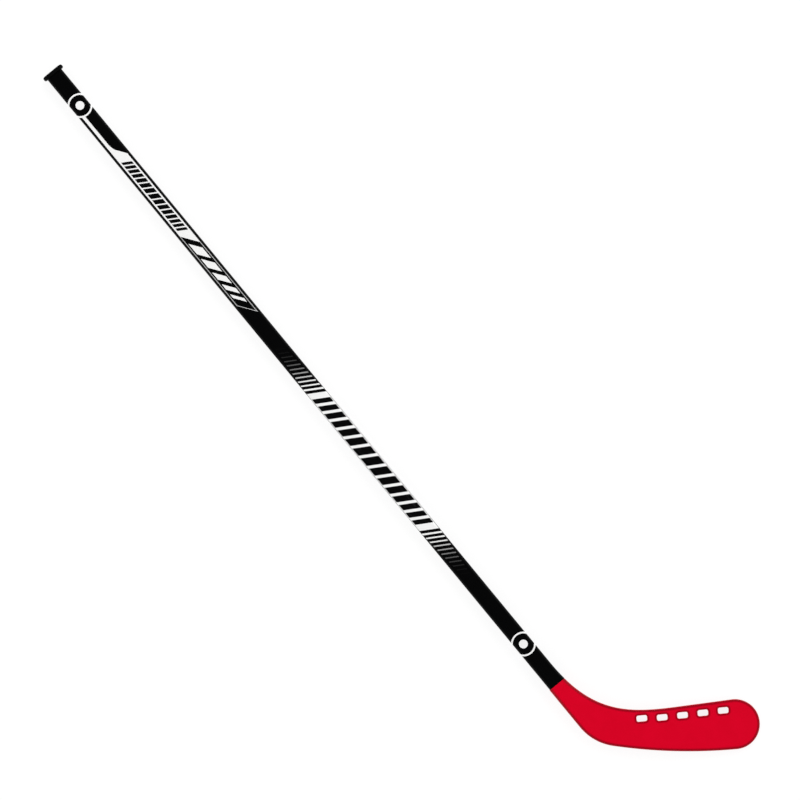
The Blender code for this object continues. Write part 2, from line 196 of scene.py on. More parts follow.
HEEL = np.array((JOINT_X + HOSEL_LENGTH, -HALF_WIDTH))
ALONG_SOLE = np.array((math.cos(LIE_ANGLE), math.sin(LIE_ANGLE)))
UP_SOLE = np.array((-math.sin(LIE_ANGLE), math.cos(LIE_ANGLE)))
UP_Y = np.array((0.0, 1.0))


def unit(angle):
    """The direction (cos a, sin a) at an angle, for one angle or an array of them."""
    return np.stack((np.cos(angle), np.sin(angle)), axis=-1)


def heading(vector):
    """The angle at which a vector points."""
    return math.atan2(vector[1], vector[0])


def line(start, end):
    """Evenly spaced points (1 - t) * start + t * end, both ends included."""
    t = np.linspace(0, 1, CURVE_POINTS)[:, None]
    return (1 - t) * np.asarray(start) + t * np.asarray(end)


def arc(centre, radius, first, last, count=CURVE_POINTS):
    """Points centre + radius * (cos a, sin a), with a running evenly from the first angle to the last."""
    return np.asarray(centre) + radius * unit(np.linspace(first, last, count))


def quarter(count):
    """Angles from 0 to a right angle in even steps."""
    return np.linspace(0, math.pi / 2, count + 1)


def smooth_step(x, low=0.0, high=1.0):
    """0 below low, 1 above high, and 3x^2 - 2x^3 between them."""
    x = np.clip((x - low) / (high - low), 0, 1)
    return x * x * (3 - 2 * x)


def run_along(path):
    """The way along a path to each of its points, as the sum of the distances between them."""
    return np.concatenate(([0], np.cumsum(np.linalg.norm(np.diff(path, axis=0), axis=1))))


def resample(path, count):
    """Points evenly spaced by length along a path, both ends included."""
    run = run_along(path)
    wanted = np.linspace(0, run[-1], count)
    return np.column_stack([np.interp(wanted, run, path[:, k]) for k in range(path.shape[1])])


def grid(points, keep=None):
    """The quads between neighbouring points of a grid, or only those of the cells that keep marks."""
    rows, columns = points.shape[:2]
    index = np.arange(rows * columns).reshape(rows, columns)
    quads = np.stack((index[:-1, :-1], index[1:, :-1], index[1:, 1:], index[:-1, 1:]), axis=-1)
    return points.reshape(-1, points.shape[2]), quads.reshape(-1, 4) if keep is None else quads[keep]


def add_object(name, data):
    """Puts a mesh, a lamp or a camera into the scene as an object of that name."""
    made = bpy.data.objects.new(name, data)
    bpy.context.scene.collection.objects.link(made)
    return made


def make_piece(name, patches, material, node=None, shade=None):
    """Joins grids into one closed mesh with its faces outwards and puts it in the row frame.

    The borders of the grids have the same points, which are merged. shade gives each point a value for the
    material, as the mesh attribute of that name.
    """
    starts = np.cumsum([0] + [len(points) for points, _ in patches[:-1]])
    points = np.concatenate([points for points, _ in patches])
    quads = np.concatenate([quads + start for (_, quads), start in zip(patches, starts)])
    mesh = bpy.data.meshes.new(name)
    mesh.from_pydata((points[:, :3] + ORIGIN).tolist(), [], quads.tolist())
    if shade:
        values = mesh.attributes.new(shade, "FLOAT", "POINT")
        values.data.foreach_set("value", points[:, 3].astype(np.float32))
    bm = bmesh.new()
    bm.from_mesh(mesh)
    bmesh.ops.remove_doubles(bm, verts=bm.verts, dist=WELD)
    bmesh.ops.delete(bm, geom=[v for v in bm.verts if not v.link_faces], context="VERTS")
    bmesh.ops.recalc_face_normals(bm, faces=bm.faces)
    bm.to_mesh(mesh)
    bm.free()
    mesh.shade_smooth()
    mesh.set_sharp_from_angle(angle=SHARP_ANGLE)
    mesh.materials.append(material)
    piece = add_object(name, mesh)
    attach(piece, "root")
    if node:
        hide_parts(node)


# Outline of the blade


def to_stick_frame(points):
    """Carries points (along the sole, height over it) into the stick's xy plane."""
    points = np.atleast_2d(points)
    return HEEL + points[:, :1] * ALONG_SOLE + points[:, 1:] * UP_SOLE


def along_sole(points):
    """How far points of the xy plane lie past the heel corner, measured along the sole."""
    return (points - HEEL) @ ALONG_SOLE


class BladeOutline:
    """The blade's edges in the sole's frame, from the named radii and angles.

    The back edge runs on from the shaft, the heel arc turns it into the sole's rocker arc, the toe is a round
    tangent to the rocker and to the straight top edge, and a cubic curve through the throat leads that edge
    to the shaft.
    """

    def __init__(self):
        """Finds the centres of the heel and toe arcs, and the angles between which they run."""
        self.rocker = np.array((ROCKER_LOWEST, ROCKER_RADIUS))
        shaft_way = np.array((math.cos(LIE_ANGLE), -math.sin(LIE_ANGLE)))
        back_out = np.array((-math.sin(LIE_ANGLE), -math.cos(LIE_ANGLE)))
        self.hosel_back = HOSEL_STEP * back_out - (HOSEL_LENGTH - HOSEL_ROUND) * shaft_way

        # The heel arc's centre: its radius inside the back edge and inside the rocker circle
        offset = (HOSEL_STEP - HEEL_RADIUS) * back_out - self.rocker
        half_b = offset @ shaft_way
        inner = ROCKER_RADIUS - HEEL_RADIUS
        run = -half_b + math.sqrt(half_b**2 - offset @ offset + inner**2)
        self.heel = self.rocker + offset + run * shaft_way
        self.heel_first = heading(back_out)
        self.heel_last = heading(self.heel - self.rocker)

        # The toe round's centre: its radius inside the blade's end and inside the rocker circle
        toe_along = BLADE_LENGTH - TOE_RADIUS
        reach = math.sqrt((ROCKER_RADIUS - TOE_RADIUS) ** 2 - (toe_along - ROCKER_LOWEST) ** 2)
        self.toe = np.array((toe_along, ROCKER_RADIUS - reach))
        self.toe_first = heading(self.toe - self.rocker)
        self.toe_last = math.pi / 2 + TOP_RISE

    def top_edge(self, along):
        """The top edge's straight stretch, a tangent to the toe round."""
        height = self.toe[1] + TOE_RADIUS / math.cos(TOP_RISE)
        return np.array((along, height + (along - self.toe[0]) * math.tan(TOP_RISE)))

    def throat(self):
        """The throat in the stick's frame, from the shaft's plain stretch to the straight top edge.

        Its four points are weighted by (1 - t)^3, 3 (1 - t)^2 t, 3 (1 - t) t^2 and t^3.
        """
        start = np.array((SHAFT_END - BELL_LENGTH, HALF_WIDTH))
        end = to_stick_frame(self.top_edge(THROAT_START))[0]
        ahead = start + THROAT_SHAFT_PULL * np.array((1.0, 0.0))
        behind = end - THROAT_BLADE_PULL * unit(LIE_ANGLE + TOP_RISE)
        t = np.linspace(0, 1, CURVE_POINTS)[:, None]
        return (1 - t) ** 3 * start + 3 * (1 - t) ** 2 * t * ahead + 3 * (1 - t) * t**2 * behind + t**3 * end

    def edges(self):
        """Matching points of the lower and upper edge from the hosel to the toe, in the stick's frame."""
        middle = (self.toe_first + self.toe_last) / 2
        sole_start = -math.acos((THROAT_START - ROCKER_LOWEST) / ROCKER_RADIUS)
        lower_bend = np.concatenate((
            line(self.hosel_back, self.heel + HEEL_RADIUS * unit(self.heel_first)),
            arc(self.heel, HEEL_RADIUS, self.heel_first, self.heel_last),
            arc(self.rocker, ROCKER_RADIUS, self.heel_last, sole_start),
        ))
        lower_sole = arc(self.rocker, ROCKER_RADIUS, sole_start, self.toe_first)
        upper_line = line(self.top_edge(THROAT_START), self.toe + TOE_RADIUS * unit(self.toe_last))
        lower_toe = arc(self.toe, TOE_RADIUS, self.toe_first, middle - TOE_GAP, TOE_STATIONS + 1)
        upper_toe = arc(self.toe, TOE_RADIUS, self.toe_last, middle + TOE_GAP, TOE_STATIONS + 1)

        throat = self.throat()
        first_x = JOINT_X + HOSEL_ROUND
        first_y = np.interp(first_x, throat[:, 0], throat[:, 1])
        upper_bend = np.concatenate(([(first_x, first_y)], throat[throat[:, 0] > first_x]))

        lower = np.concatenate((
            to_stick_frame(resample(lower_bend, BEND_STATIONS + 1))[:-1],
            to_stick_frame(resample(lower_sole, BLADE_STATIONS + 1))[:-1],
            to_stick_frame(lower_toe),
        ))
        upper = np.concatenate((
            resample(upper_bend, BEND_STATIONS + 1)[:-1],
            to_stick_frame(resample(upper_line, BLADE_STATIONS + 1))[:-1],
            to_stick_frame(upper_toe),
        ))
        return lower, upper

    def slot_centre(self, number):
        """A slot's centre in the stick's frame: its pitch further along the sole, and below the top edge."""
        straight = to_stick_frame(line(self.top_edge(THROAT_START), self.top_edge(BLADE_LENGTH)))
        edge = np.concatenate((self.throat(), straight[1:]))
        along = SLOT_FIRST + number * SLOT_PITCH
        place = [np.interp(along, along_sole(edge), edge[:, axis]) for axis in range(2)]
        return np.array(place) - (SLOT_DROP + number * SLOT_SINK) * UP_SOLE


OUTLINE = BladeOutline()


def mouth_edge(x):
    """The shaft's edge on the side of the bend: straight, then following the throat curve in the bell."""
    throat = OUTLINE.throat()
    return np.interp(x, throat[:, 0], throat[:, 1], left=HALF_WIDTH)


# Shaft and cap: rounded rectangular sections along x


def box_rings(x, low, high, half, radius):
    """Rounded rectangles square to the shaft, one for each x, as closed rings of (x, y, z).

    The ring runs along the lower face from low to high, then turns each corner by
    radius * (cos t, sin t) round the corner's centre. Its first point is repeated at its end.
    """
    x, low, high, half, radius = np.broadcast_arrays(x, low, high, half, radius)
    share = np.linspace(0, 1, FACE_STEPS + 1)
    face_y = (low + radius)[:, None] * (1 - share) + (high - radius)[:, None] * share
    ring = [np.stack((face_y, np.broadcast_to(-half[:, None], face_y.shape)), axis=-1)]
    corners = (
        (high - radius, radius - half, -math.pi / 2),
        (high - radius, half - radius, 0.0),
        (low + radius, half - radius, math.pi / 2),
        (low + radius, radius - half, math.pi),
    )
    for y, z, first in corners:
        round_corner = radius[:, None, None] * unit(first + quarter(CORNER_STEPS))
        ring.append(np.stack((y, z), axis=-1)[:, None] + round_corner)
    ring[1] = ring[1][:, 1:]
    flat = np.concatenate(ring, axis=1)
    return np.concatenate((np.broadcast_to(x[:, None, None], (*flat.shape[:2], 1)), flat), axis=2)


def shaft_rings(x, inset):
    """The shaft's section at each x, drawn in all round by inset."""
    high = mouth_edge(x) - inset
    return box_rings(x, inset - HALF_WIDTH, high, HALF_THICK - inset, SHAFT_CORNER - inset)


def block_loop(points, first_row, last_row, first_column, last_column):
    """The border points of a block of a grid, once round and back to the first."""
    return np.concatenate((
        points[first_row:last_row, last_column],
        points[last_row, last_column:first_column:-1],
        points[last_row:first_row:-1, first_column],
        points[first_row, first_column:last_column + 1],
    ))


def rows_towards(start, end, count):
    """Loops evenly spaced from one loop towards another, without the last."""
    share = np.linspace(0, 1, count, endpoint=False)[:, None, None]
    return start * (1 - share) + end * share


def screw_places():
    """The x of each screw's axis, from the one at the mouth on."""
    return [JOINT_X - SCREW_FIRST - k * SCREW_SPACING for k in range(SCREW_COUNT)]


def hole_circle(x, loop, radius, z):
    """A circle round a screw's axis whose points lie in the directions of a loop's points."""
    angle = np.arctan2(loop[:, 1], loop[:, 0] - x)
    circle = np.array((x, 0.0)) + radius * unit(angle)
    return np.column_stack((circle, np.full(len(loop), z)))


def shaft_patches():
    """The tube's skin, outer rings to the mouth and inner rings back, with the countersunk screw holes."""
    near, far = screw_places()
    reach = SCREW_HEAD_RADIUS + SCREW_CLEARANCE + HOLE_MARGIN
    hole_zone = far - 2 * reach
    fine = np.arange(hole_zone, SHAFT_END - 2 * END_SOFTENING, SHAFT_HOLE_STEP)
    plain = np.linspace(SHAFT_START + END_SOFTENING, hole_zone, BELL_STEPS, endpoint=False)
    run = np.concatenate((plain, fine, [SHAFT_END - END_SOFTENING]))
    start, end = [SHAFT_START], [SHAFT_END]
    x = np.concatenate((start, run, end, end, run[::-1], start, start))
    soft, inside = END_SOFTENING, SHAFT_WALL
    inset = np.concatenate((
        [soft], np.zeros(len(run)), [soft],
        [inside - soft], np.full(len(run), inside), [inside - soft], [soft],
    ))
    rings = shaft_rings(x, inset)
    keep = np.ones((rings.shape[0] - 1, rings.shape[1] - 1), bool)
    mirror = len(x) - 2
    across = np.flatnonzero(np.abs(rings[1, :FACE_STEPS + 1, 1]) < reach)
    columns = (across[0], across[-1])
    patches = []
    for place in (near, far):
        rows = 1 + np.flatnonzero(np.abs(run - place) < reach)
        first, last = rows[0], rows[-1]
        keep[first:last, slice(*columns)] = False
        keep[mirror - last:mirror - first, slice(*columns)] = False
        mouth = block_loop(rings, first, last, *columns)
        back = block_loop(rings[::-1], first + 1, last + 1, *columns)
        patches.append(grid(screw_hole(place, mouth, back)))
    return [grid(rings, keep), *patches]


def screw_hole(place, mouth, back):
    """A countersunk hole as loops, from its block's border on the outer face to that on the bore's face."""
    head = SCREW_HEAD_RADIUS + SCREW_CLEARANCE
    shank = SCREW_RADIUS + SCREW_CLEARANCE
    face, bore = mouth[0, 2], back[0, 2]
    rim = hole_circle(place, mouth, head + END_SOFTENING / 2, face)
    loops = [
        *rows_towards(mouth, rim, PATCH_RINGS),
        rim,
        hole_circle(place, mouth, head, face + END_SOFTENING / 2),
        hole_circle(place, mouth, shank, face + END_SOFTENING / 2 + head - shank),
        hole_circle(place, mouth, shank, bore),
    ]
    loops += [*rows_towards(loops[-1], back, PATCH_RINGS)[1:], back]
    return np.array(loops)


def cap_patches():
    """The cap as one run of rings: dished end face, round rim, flange, lipped plug and the plug's hollow.

    The end face shrinks its ring towards the middle, where it turns to circles, and sinks by the dish's depth
    inside the dish's edge and by the gate's inside the gate's.
    """
    t = quarter(RIM_STEPS)
    share = np.linspace(0, 1, FACE_RINGS)
    rim_inset = np.concatenate((RIM_OUTER_RADIUS * (1 - np.sin(t)), RIM_INNER_RADIUS * (1 - np.cos(t))))
    rim_x = np.concatenate((
        RIM_OUTER_RADIUS * (1 - np.cos(t)),
        FLANGE_THICKNESS - RIM_INNER_RADIUS * (1 - np.sin(t)),
    ))
    flange = box_rings(
        rim_x, rim_inset - FLANGE_HALF_WIDTH, FLANGE_HALF_WIDTH - rim_inset,
        FLANGE_HALF_THICK - rim_inset, FLANGE_CORNER - rim_inset,
    )
    rim_ring = flange[0, :, 1:]
    middle_ring = FLANGE_HALF_THICK * rim_ring / np.linalg.norm(rim_ring, axis=1)[:, None]
    squareness = smooth_step(share, *ROUND_END)[:, None, None]
    face = (middle_ring * (1 - squareness) + rim_ring * squareness) * share[:, None, None]
    dish, gate = (1 - smooth_step(share, *edge) for edge in (DISH_EDGE, GATE_EDGE))
    depth = DISH_DEPTH * dish + GATE_DEPTH * gate
    end_face = np.dstack((np.broadcast_to(depth[:, None], face.shape[:2]), face))

    play, plug_x = [PLUG_PLAY], [FLANGE_THICKNESS]
    for k in range(LIP_COUNT):
        start = FLANGE_THICKNESS + LIP_FIRST + k * LIP_PITCH
        play += [PLUG_PLAY, CLEARANCE, PLUG_PLAY]
        plug_x += [start, start, start + LIP_RAMP]
    tip = PLUG_PLAY + PLUG_BEVEL
    hollow = tip + PLUG_WALL
    play += [PLUG_PLAY, tip, hollow, hollow]
    plug_x += [PLUG_END - PLUG_BEVEL, PLUG_END, PLUG_END, FLANGE_THICKNESS]
    inset = SHAFT_WALL + np.array(play)
    plug = box_rings(
        np.array(plug_x), inset - HALF_WIDTH, HALF_WIDTH - inset, HALF_THICK - inset,
        np.maximum(SHAFT_CORNER - inset, CLEARANCE),
    )
    bottom = plug[-1] * np.array((0, 1, 1)) * share[::-1, None, None]
    bottom[:, :, 0] = FLANGE_THICKNESS
    return [grid(np.concatenate((end_face, flange, plug, bottom)))]


# Blade: sections between its two edges, one closed ring at each station


def edge_profile(half, radius):
    """How far in from the outline, and how high, each level of the rounded edge lies, from the top down.

    A quarter round goes in by radius * (1 - cos t) while it rises by radius * sin t. Below it the edge is
    upright as far as the mould line, which stands out by its height at mid-height. The shoulder is one more
    level close over the line, so that the upright part is shaded flat.
    """
    t = quarter(EDGE_ARC_STEPS)[::-1]
    inset = EDGE_INSET + radius[:, None] * (1 - np.cos(t))
    height = (half - radius)[:, None] + radius[:, None] * np.sin(t)
    shoulder = MOULD_LINE_FOOT + MOULD_LINE_SHOULDER * (height[:, -1:] - MOULD_LINE_FOOT)
    ones = np.ones((len(half), 1))
    inset = np.hstack((inset, ones * (EDGE_INSET, EDGE_INSET, MOULD_LINE_HEIGHT)))
    height = np.hstack((height, shoulder, ones * (MOULD_LINE_FOOT, MOULD_LINE_CREST)))
    return np.hstack((inset, inset[:, ::-1])), np.hstack((height, -height[:, ::-1]))


CREST_LEVEL = EDGE_ARC_STEPS + 3
EDGE_LEVELS = 2 * CREST_LEVEL + 1


def blade_rings(lower, upper, lower_in, upper_in, half, radius):
    """Sections between matching edge points as closed rings.

    A ring runs over the top face from the upper edge to the lower, down that edge, back over the bottom face
    and up the upper edge. The rows of a face divide the line between the two edges evenly.
    """
    inset, height = edge_profile(half, radius)
    top_side = np.dstack((upper[:, None] + inset[..., None] * upper_in[:, None], height))
    low_side = np.dstack((lower[:, None] + inset[..., None] * lower_in[:, None], height))
    share = np.linspace(0, 1, BLADE_ROWS + 1)[:, None]
    top = top_side[:, None, 0] * (1 - share) + low_side[:, None, 0] * share
    bottom = low_side[:, None, -1] * (1 - share) + top_side[:, None, -1] * share
    return np.concatenate((top, low_side[:, 1:-1], bottom, top_side[:, -2::-1]), axis=1)


BOTTOM_START = BLADE_ROWS + EDGE_LEVELS
EDGE_CRESTS = (BLADE_ROWS + CREST_LEVEL, BOTTOM_START + BLADE_ROWS + CREST_LEVEL)


def inward(edge, turn):
    """Unit normals of an edge, to its left for turn 1 and to its right for turn -1."""
    way = np.gradient(edge, axis=0)
    normal = turn * np.column_stack((-way[:, 1], way[:, 0]))
    return normal / np.linalg.norm(normal, axis=1)[:, None]


def main_rings():
    """Hosel, heel and blade. The thickness falls smoothly from hosel to blade, then evenly to the toe."""
    lower, upper = OUTLINE.edges()
    lower_in, upper_in = inward(lower, 1), inward(upper, -1)
    lower_in[0], upper_in[0] = UP_Y, -UP_Y
    run = run_along((lower + upper) / 2)
    taper = smooth_step(run / TAPER_LENGTH)
    thinning = np.clip((run - TAPER_LENGTH) / (run[-1] - TAPER_LENGTH), 0, 1)
    hosel_half = HALF_THICK + HOSEL_STEP
    half = hosel_half + (BLADE_THICKNESS / 2 - hosel_half) * taper
    half += (TOE_THICKNESS - BLADE_THICKNESS) / 2 * thinning
    radius = SHAFT_CORNER + HOSEL_STEP + (BLADE_EDGE - SHAFT_CORNER - HOSEL_STEP) * taper
    return blade_rings(lower, upper, lower_in, upper_in, half, radius), half


def straight_rings(x, low, high, half, radius):
    """Sections square to the shaft, for the tang and the hosel's rounded end."""
    x, low, high, half, radius = np.broadcast_arrays(x, low, high, half, radius)
    ways = np.broadcast_to(UP_Y, (len(x), 2))
    return blade_rings(np.column_stack((x, low)), np.column_stack((x, high)), ways, -ways, half, radius)


def tang_rings():
    """The tang's tapered end, the tang inside the bore, the flat shoulder and the hosel's rounded end."""
    inset = SHAFT_WALL + CLEARANCE
    start = JOINT_X - TANG_LENGTH
    x = np.concatenate(([start], np.linspace(start + TANG_LEAD, JOINT_X, TANG_STEPS)))
    lead = np.where(x == start, TANG_LEAD, 0)
    low = inset - HALF_WIDTH + lead
    high = mouth_edge(x) - inset - lead
    half = HALF_THICK - inset - lead
    tang = straight_rings(x, low, high, half, SHAFT_CORNER - inset)
    t = quarter(FILLET_STEPS)[:-1]
    round_x = JOINT_X + HOSEL_ROUND * (1 - np.cos(t))
    back = HOSEL_ROUND * (1 - np.sin(t))
    grow = HOSEL_STEP - back
    high_x = JOINT_X + HOSEL_ROUND
    end = straight_rings(
        round_x, -HALF_WIDTH - grow, mouth_edge(high_x) - back, HALF_THICK + grow, SHAFT_CORNER + grow,
    )
    tip = tang[0] * np.array((0, 1, 1)) * np.linspace(0, 1, FILLET_STEPS)[:, None, None]
    tip[:, :, 0] = start
    return np.concatenate((tip, tang, end))


def toe_cap(ring):
    """The edge carried on round the tip, as a grid of edge levels by rows.

    Between the upper and the lower end of each level the angle and the distance from the toe's centre change
    evenly, so the levels are arcs.
    """
    centre = to_stick_frame(OUTLINE.toe)[0]
    level = np.arange(EDGE_LEVELS + 1)
    ends = ring[(-1 - level) % len(ring)], ring[BLADE_ROWS + level]
    arms = [end[:, :2] - centre for end in ends]
    angles = [np.arctan2(arm[:, 1], arm[:, 0])[:, None] for arm in arms]
    lengths = [np.linalg.norm(arm, axis=1)[:, None] for arm in arms]
    share = np.linspace(0, 1, BLADE_ROWS + 1)
    angle = angles[0] * (1 - share) + angles[1] * share
    length = lengths[0] * (1 - share) + lengths[1] * share
    place = centre + length[..., None] * unit(angle)
    height = np.broadcast_to(ends[0][:, 2:, None].transpose(0, 2, 1), (*place.shape[:2], 1))
    return np.concatenate((place, height), axis=2)


def station_of(points, rings):
    """The station of points in the xy plane, with its fraction, and their share from upper to lower edge.

    A point lies between the last station line that it is past and the next, at the fraction where the line
    blended from the two passes through it.
    """
    upper, lower = rings[:, 0, :2], rings[:, BLADE_ROWS, :2]
    across = lower - upper
    arm = points[:, None] - upper
    side = across[:, 0] * arm[..., 1] - across[:, 1] * arm[..., 0]
    number = np.argmax(side[:, 1:] * side[:, :1] < 0, axis=1)
    every = np.arange(len(points))
    part = side[every, number] / (side[every, number] - side[every, number + 1])
    blend = part[:, None]
    start = upper[number] * (1 - blend) + upper[number + 1] * blend
    way = across[number] * (1 - blend) + across[number + 1] * blend
    share = ((points - start) * way).sum(axis=1) / (way * way).sum(axis=1)
    return number + part, share


def rounded_loop(counts, halves, radius, angle):
    """A rounded rectangle turned by angle, as offsets from its centre.

    Each of the four sides runs from the middle of one corner's arc to the middle of the next, in as many
    steps as the block of the face that it belongs to.
    """
    way = unit(angle)
    up = np.array((-way[1], way[0]))
    turn = np.linspace(-math.pi / 4, 0, HALF_ARC_STEPS, endpoint=False)
    sides = ((way, -up), (up, way), (-way, up), (-up, -way))
    loop = []
    for k, (along, out) in enumerate(sides):
        run, rise = halves[k % 2] - radius, halves[1 - k % 2] - radius
        straight = np.linspace(-run, run, counts[k % 2] - 2 * HALF_ARC_STEPS + 1)
        far_turn = -turn[::-1][:-1]
        place = np.concatenate((-run + radius * np.sin(turn), straight, run + radius * np.sin(far_turn)))
        flat = np.full(len(straight), rise + radius)
        depth = np.concatenate((rise + radius * np.cos(turn), flat, rise + radius * np.cos(far_turn)))
        loop.append(place[:, None] * along + depth[:, None] * out)
    loop = np.concatenate(loop)
    return np.concatenate((loop, loop[:1]))


def slot_outline(counts, grow=0.0):
    """A slot's outline, larger all round by grow, as offsets from its centre."""
    halves = (SLOT_LENGTH / 2 + grow, SLOT_HEIGHT / 2 + grow)
    return rounded_loop(counts, halves, SLOT_CORNER + grow, LIE_ANGLE + SLOT_TILT)


def pocket_spans():
    """Where each pocket of the tang starts and ends along x, between its end wall, the lands and its root."""
    near, far = screw_places()
    return (
        (JOINT_X - TANG_LENGTH + TANG_LEAD + TANG_WALL, far - LAND_RADIUS),
        (far + LAND_RADIUS, near - LAND_RADIUS),
        (near + LAND_RADIUS, JOINT_X - TANG_ROOT),
    )


def unshaded(loops):
    """Loops whose points carry none of the painted edge shade."""
    return np.dstack((loops, np.zeros(loops.shape[:2])))


def pocket_patch(span, tang, block):
    """A pocket's loops: from its block's border to the rim, down to the web, and in to the floor's middle."""
    border = block_loop(tang, *block)
    middle = (span[0] + span[1]) / 2
    halves = ((span[1] - span[0]) / 2, HALF_WIDTH - SHAFT_WALL - CLEARANCE - TANG_WALL)
    counts = (block[1] - block[0], block[3] - block[2])
    outline = rounded_loop(counts, halves, POCKET_CORNER, 0.0) + (middle, 0)
    rim, foot = (np.column_stack((outline, np.full(len(outline), z))) for z in (border[0, 2], TANG_WEB / 2))
    centre = np.tile((middle, 0, TANG_WEB / 2), (len(outline), 1))
    floor = [*rows_towards(foot, centre, PATCH_RINGS), centre]
    return unshaded(np.array([*rows_towards(border, rim, PATCH_RINGS), rim, *floor]))


def rows_about(tang, low, high):
    """The last row of the tang before low and the first one past high."""
    x = tang[:, 0, 0]
    return np.searchsorted(x, low, side="right") - 1, np.searchsorted(x, high)


def screw_tip():
    """How high a screw's tip stands over the shaft's middle, read from its solid."""
    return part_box("blade_screw_1")[1].z - ORIGIN[2]


def tang_hole(place, tang, block):
    """A screw's blind hole in the tang's lower face as loops, from its block's border to the hole's tip."""
    border = block_loop(tang, *block)
    radius = SCREW_RADIUS + SCREW_CLEARANCE
    end = screw_tip() + SCREW_CLEARANCE
    profile = ((radius, border[0, 2]), (radius, end - SCREW_TIP), (0.0, end))
    circles = [hole_circle(place, border, *step) for step in profile]
    return unshaded(np.array([*rows_towards(border, circles[0], PATCH_RINGS), *circles]))


def leave_out(keep, first_row, last_row, first_column, last_column):
    """Takes the same block out of both faces of the blade's grid."""
    mirror = BOTTOM_START + BLADE_ROWS
    keep[first_row:last_row, first_column:last_column] = False
    keep[first_row:last_row, mirror - last_column:mirror - first_column] = False


def painted_edge_shade(way_in, fade):
    """Painted edge shade by the way in from an edge: its start level on the edge, then full, then fading out.
    """
    grow = EDGE_SHADE_START + (1 - EDGE_SHADE_START) * smooth_step(way_in, 0, EDGE_SHADE_FULL)
    return grow * (1 - smooth_step(way_in, *fade))


def painted_slot_shade(offsets):
    """Painted shade round a slot at offsets from its centre, by the way out from the slot's outline."""
    way = unit(LIE_ANGLE + SLOT_TILT)
    local = np.abs(np.stack((offsets @ way, offsets @ (way[::-1] * (-1, 1))), axis=-1))
    beyond = np.maximum(local - np.array((SLOT_LENGTH, SLOT_HEIGHT)) / 2 + SLOT_CORNER, 0)
    return painted_edge_shade(np.linalg.norm(beyond, axis=-1) - SLOT_CORNER, SLOT_SHADE_FADE)


def slot_patch(centre, rings, half, block):
    """A slot's loops: from its block's border to the rim, round it, through, and out to the border below."""
    first_row, last_row, first_column, last_column = block
    border = block_loop(rings, first_row, last_row, first_column, last_column)[:, :2]
    counts = (last_row - first_row, last_column - first_column)
    shade = centre + slot_outline(counts, SLOT_SHADE)
    t = quarter(FILLET_STEPS)
    rim = [centre + slot_outline(counts, SLOT_RIM * (1 - math.sin(a))) for a in t]
    loops = np.concatenate((rows_towards(border, shade, PATCH_RINGS), [shade], rim))
    station = station_of(loops.reshape(-1, 2), rings)[0].reshape(loops.shape[:2])
    height = np.interp(station, np.arange(len(half)), half)
    height[0] = half[np.round(station[0]).astype(int)]
    height[-len(t):] -= (SLOT_RIM * (1 - np.cos(t)))[:, None]
    upper = np.dstack((loops, height, painted_slot_shade(loops - centre)))
    return np.concatenate((upper, upper[::-1] * np.array((1, 1, -1, 1))))


def bow(points):
    """How far the blade's curve carries a point towards -z, growing with the square of its distance."""
    share = (along_sole(points) - BOW_START) / (BLADE_LENGTH - BOW_START)
    return -BOW_DEPTH * np.clip(share, 0, None) ** 2


def from_toe_round(places):
    """The way in from the toe round."""
    return TOE_RADIUS - np.linalg.norm(places - to_stick_frame(OUTLINE.toe)[0], axis=-1)


def painted_shade_of_sections(rings):
    """Painted edge shade at the points of sections, by the way in from the outline.

    That way is measured from both ends of a point's own section, and past the toe's centre also from the toe
    round.
    """
    places = rings[..., :2]
    ends = rings[:, EDGE_CRESTS, :2]
    near = np.linalg.norm(places[:, :, None] - ends[:, None], axis=3).min(axis=2)
    arm = places - to_stick_frame(OUTLINE.toe)[0]
    toe = np.where(arm @ ALONG_SOLE > 0, from_toe_round(places), near)
    return painted_edge_shade(np.minimum(near, toe), EDGE_SHADE_FADE)


def blade_patches():
    """Rings from tang to toe with blocks left out, the toe cap, and the loops of pockets, holes and slots."""
    rings, half = main_rings()
    cap = toe_cap(rings[-1])
    rings[-1, :BLADE_ROWS + 1] = cap[0]
    rings[-1, BOTTOM_START:BOTTOM_START + BLADE_ROWS + 1] = cap[-1][::-1]
    tang = tang_rings()
    everything = np.concatenate((tang, rings))
    keep = np.ones((everything.shape[0] - 1, everything.shape[1] - 1), bool)
    cuts = []
    for span in pocket_spans():
        block = (*rows_about(tang, span[0] - POCKET_MARGIN, span[1] + POCKET_MARGIN), *POCKET_COLUMNS)
        leave_out(keep, *block)
        pocket = pocket_patch(span, tang, block)
        cuts += [pocket, pocket * (1, 1, -1, 1)]
    reach = SCREW_RADIUS + SCREW_CLEARANCE + POCKET_MARGIN
    columns = [BOTTOM_START + column for column in HOLE_COLUMNS]
    for place in screw_places():
        rows = rows_about(tang, place - reach, place + reach)
        keep[slice(*rows), slice(*columns)] = False
        cuts.append(tang_hole(place, tang, (*rows, *columns)))
    for number in range(SLOT_COUNT):
        centre = OUTLINE.slot_centre(number)
        corners = centre + slot_outline((2 * HALF_ARC_STEPS, 2 * HALF_ARC_STEPS), SLOT_MARGIN)
        station, share = station_of(corners, rings)
        column = share * BLADE_ROWS
        block = (int(station.min()), math.ceil(station.max()), int(column.min()), math.ceil(column.max()))
        leave_out(keep, block[0] + len(tang), block[1] + len(tang), *block[2:])
        cuts.append(slot_patch(centre, rings, half, block))

    # The tang sits in the bore, so the painted edge shade starts at the shoulder
    shade = painted_shade_of_sections(everything)
    shade[:len(tang) - FILLET_STEPS] = 0
    # The toe round gets the same painted edge shade
    cap_shade = painted_edge_shade(from_toe_round(cap[..., :2]), EDGE_SHADE_FADE)
    patches = [np.dstack((everything, shade)), np.dstack((cap, cap_shade)), *cuts]
    for points in patches:
        points[..., 2] += bow(points[..., :2])
    return [grid(patches[0], keep), *(grid(points) for points in patches[1:])]


# Screws


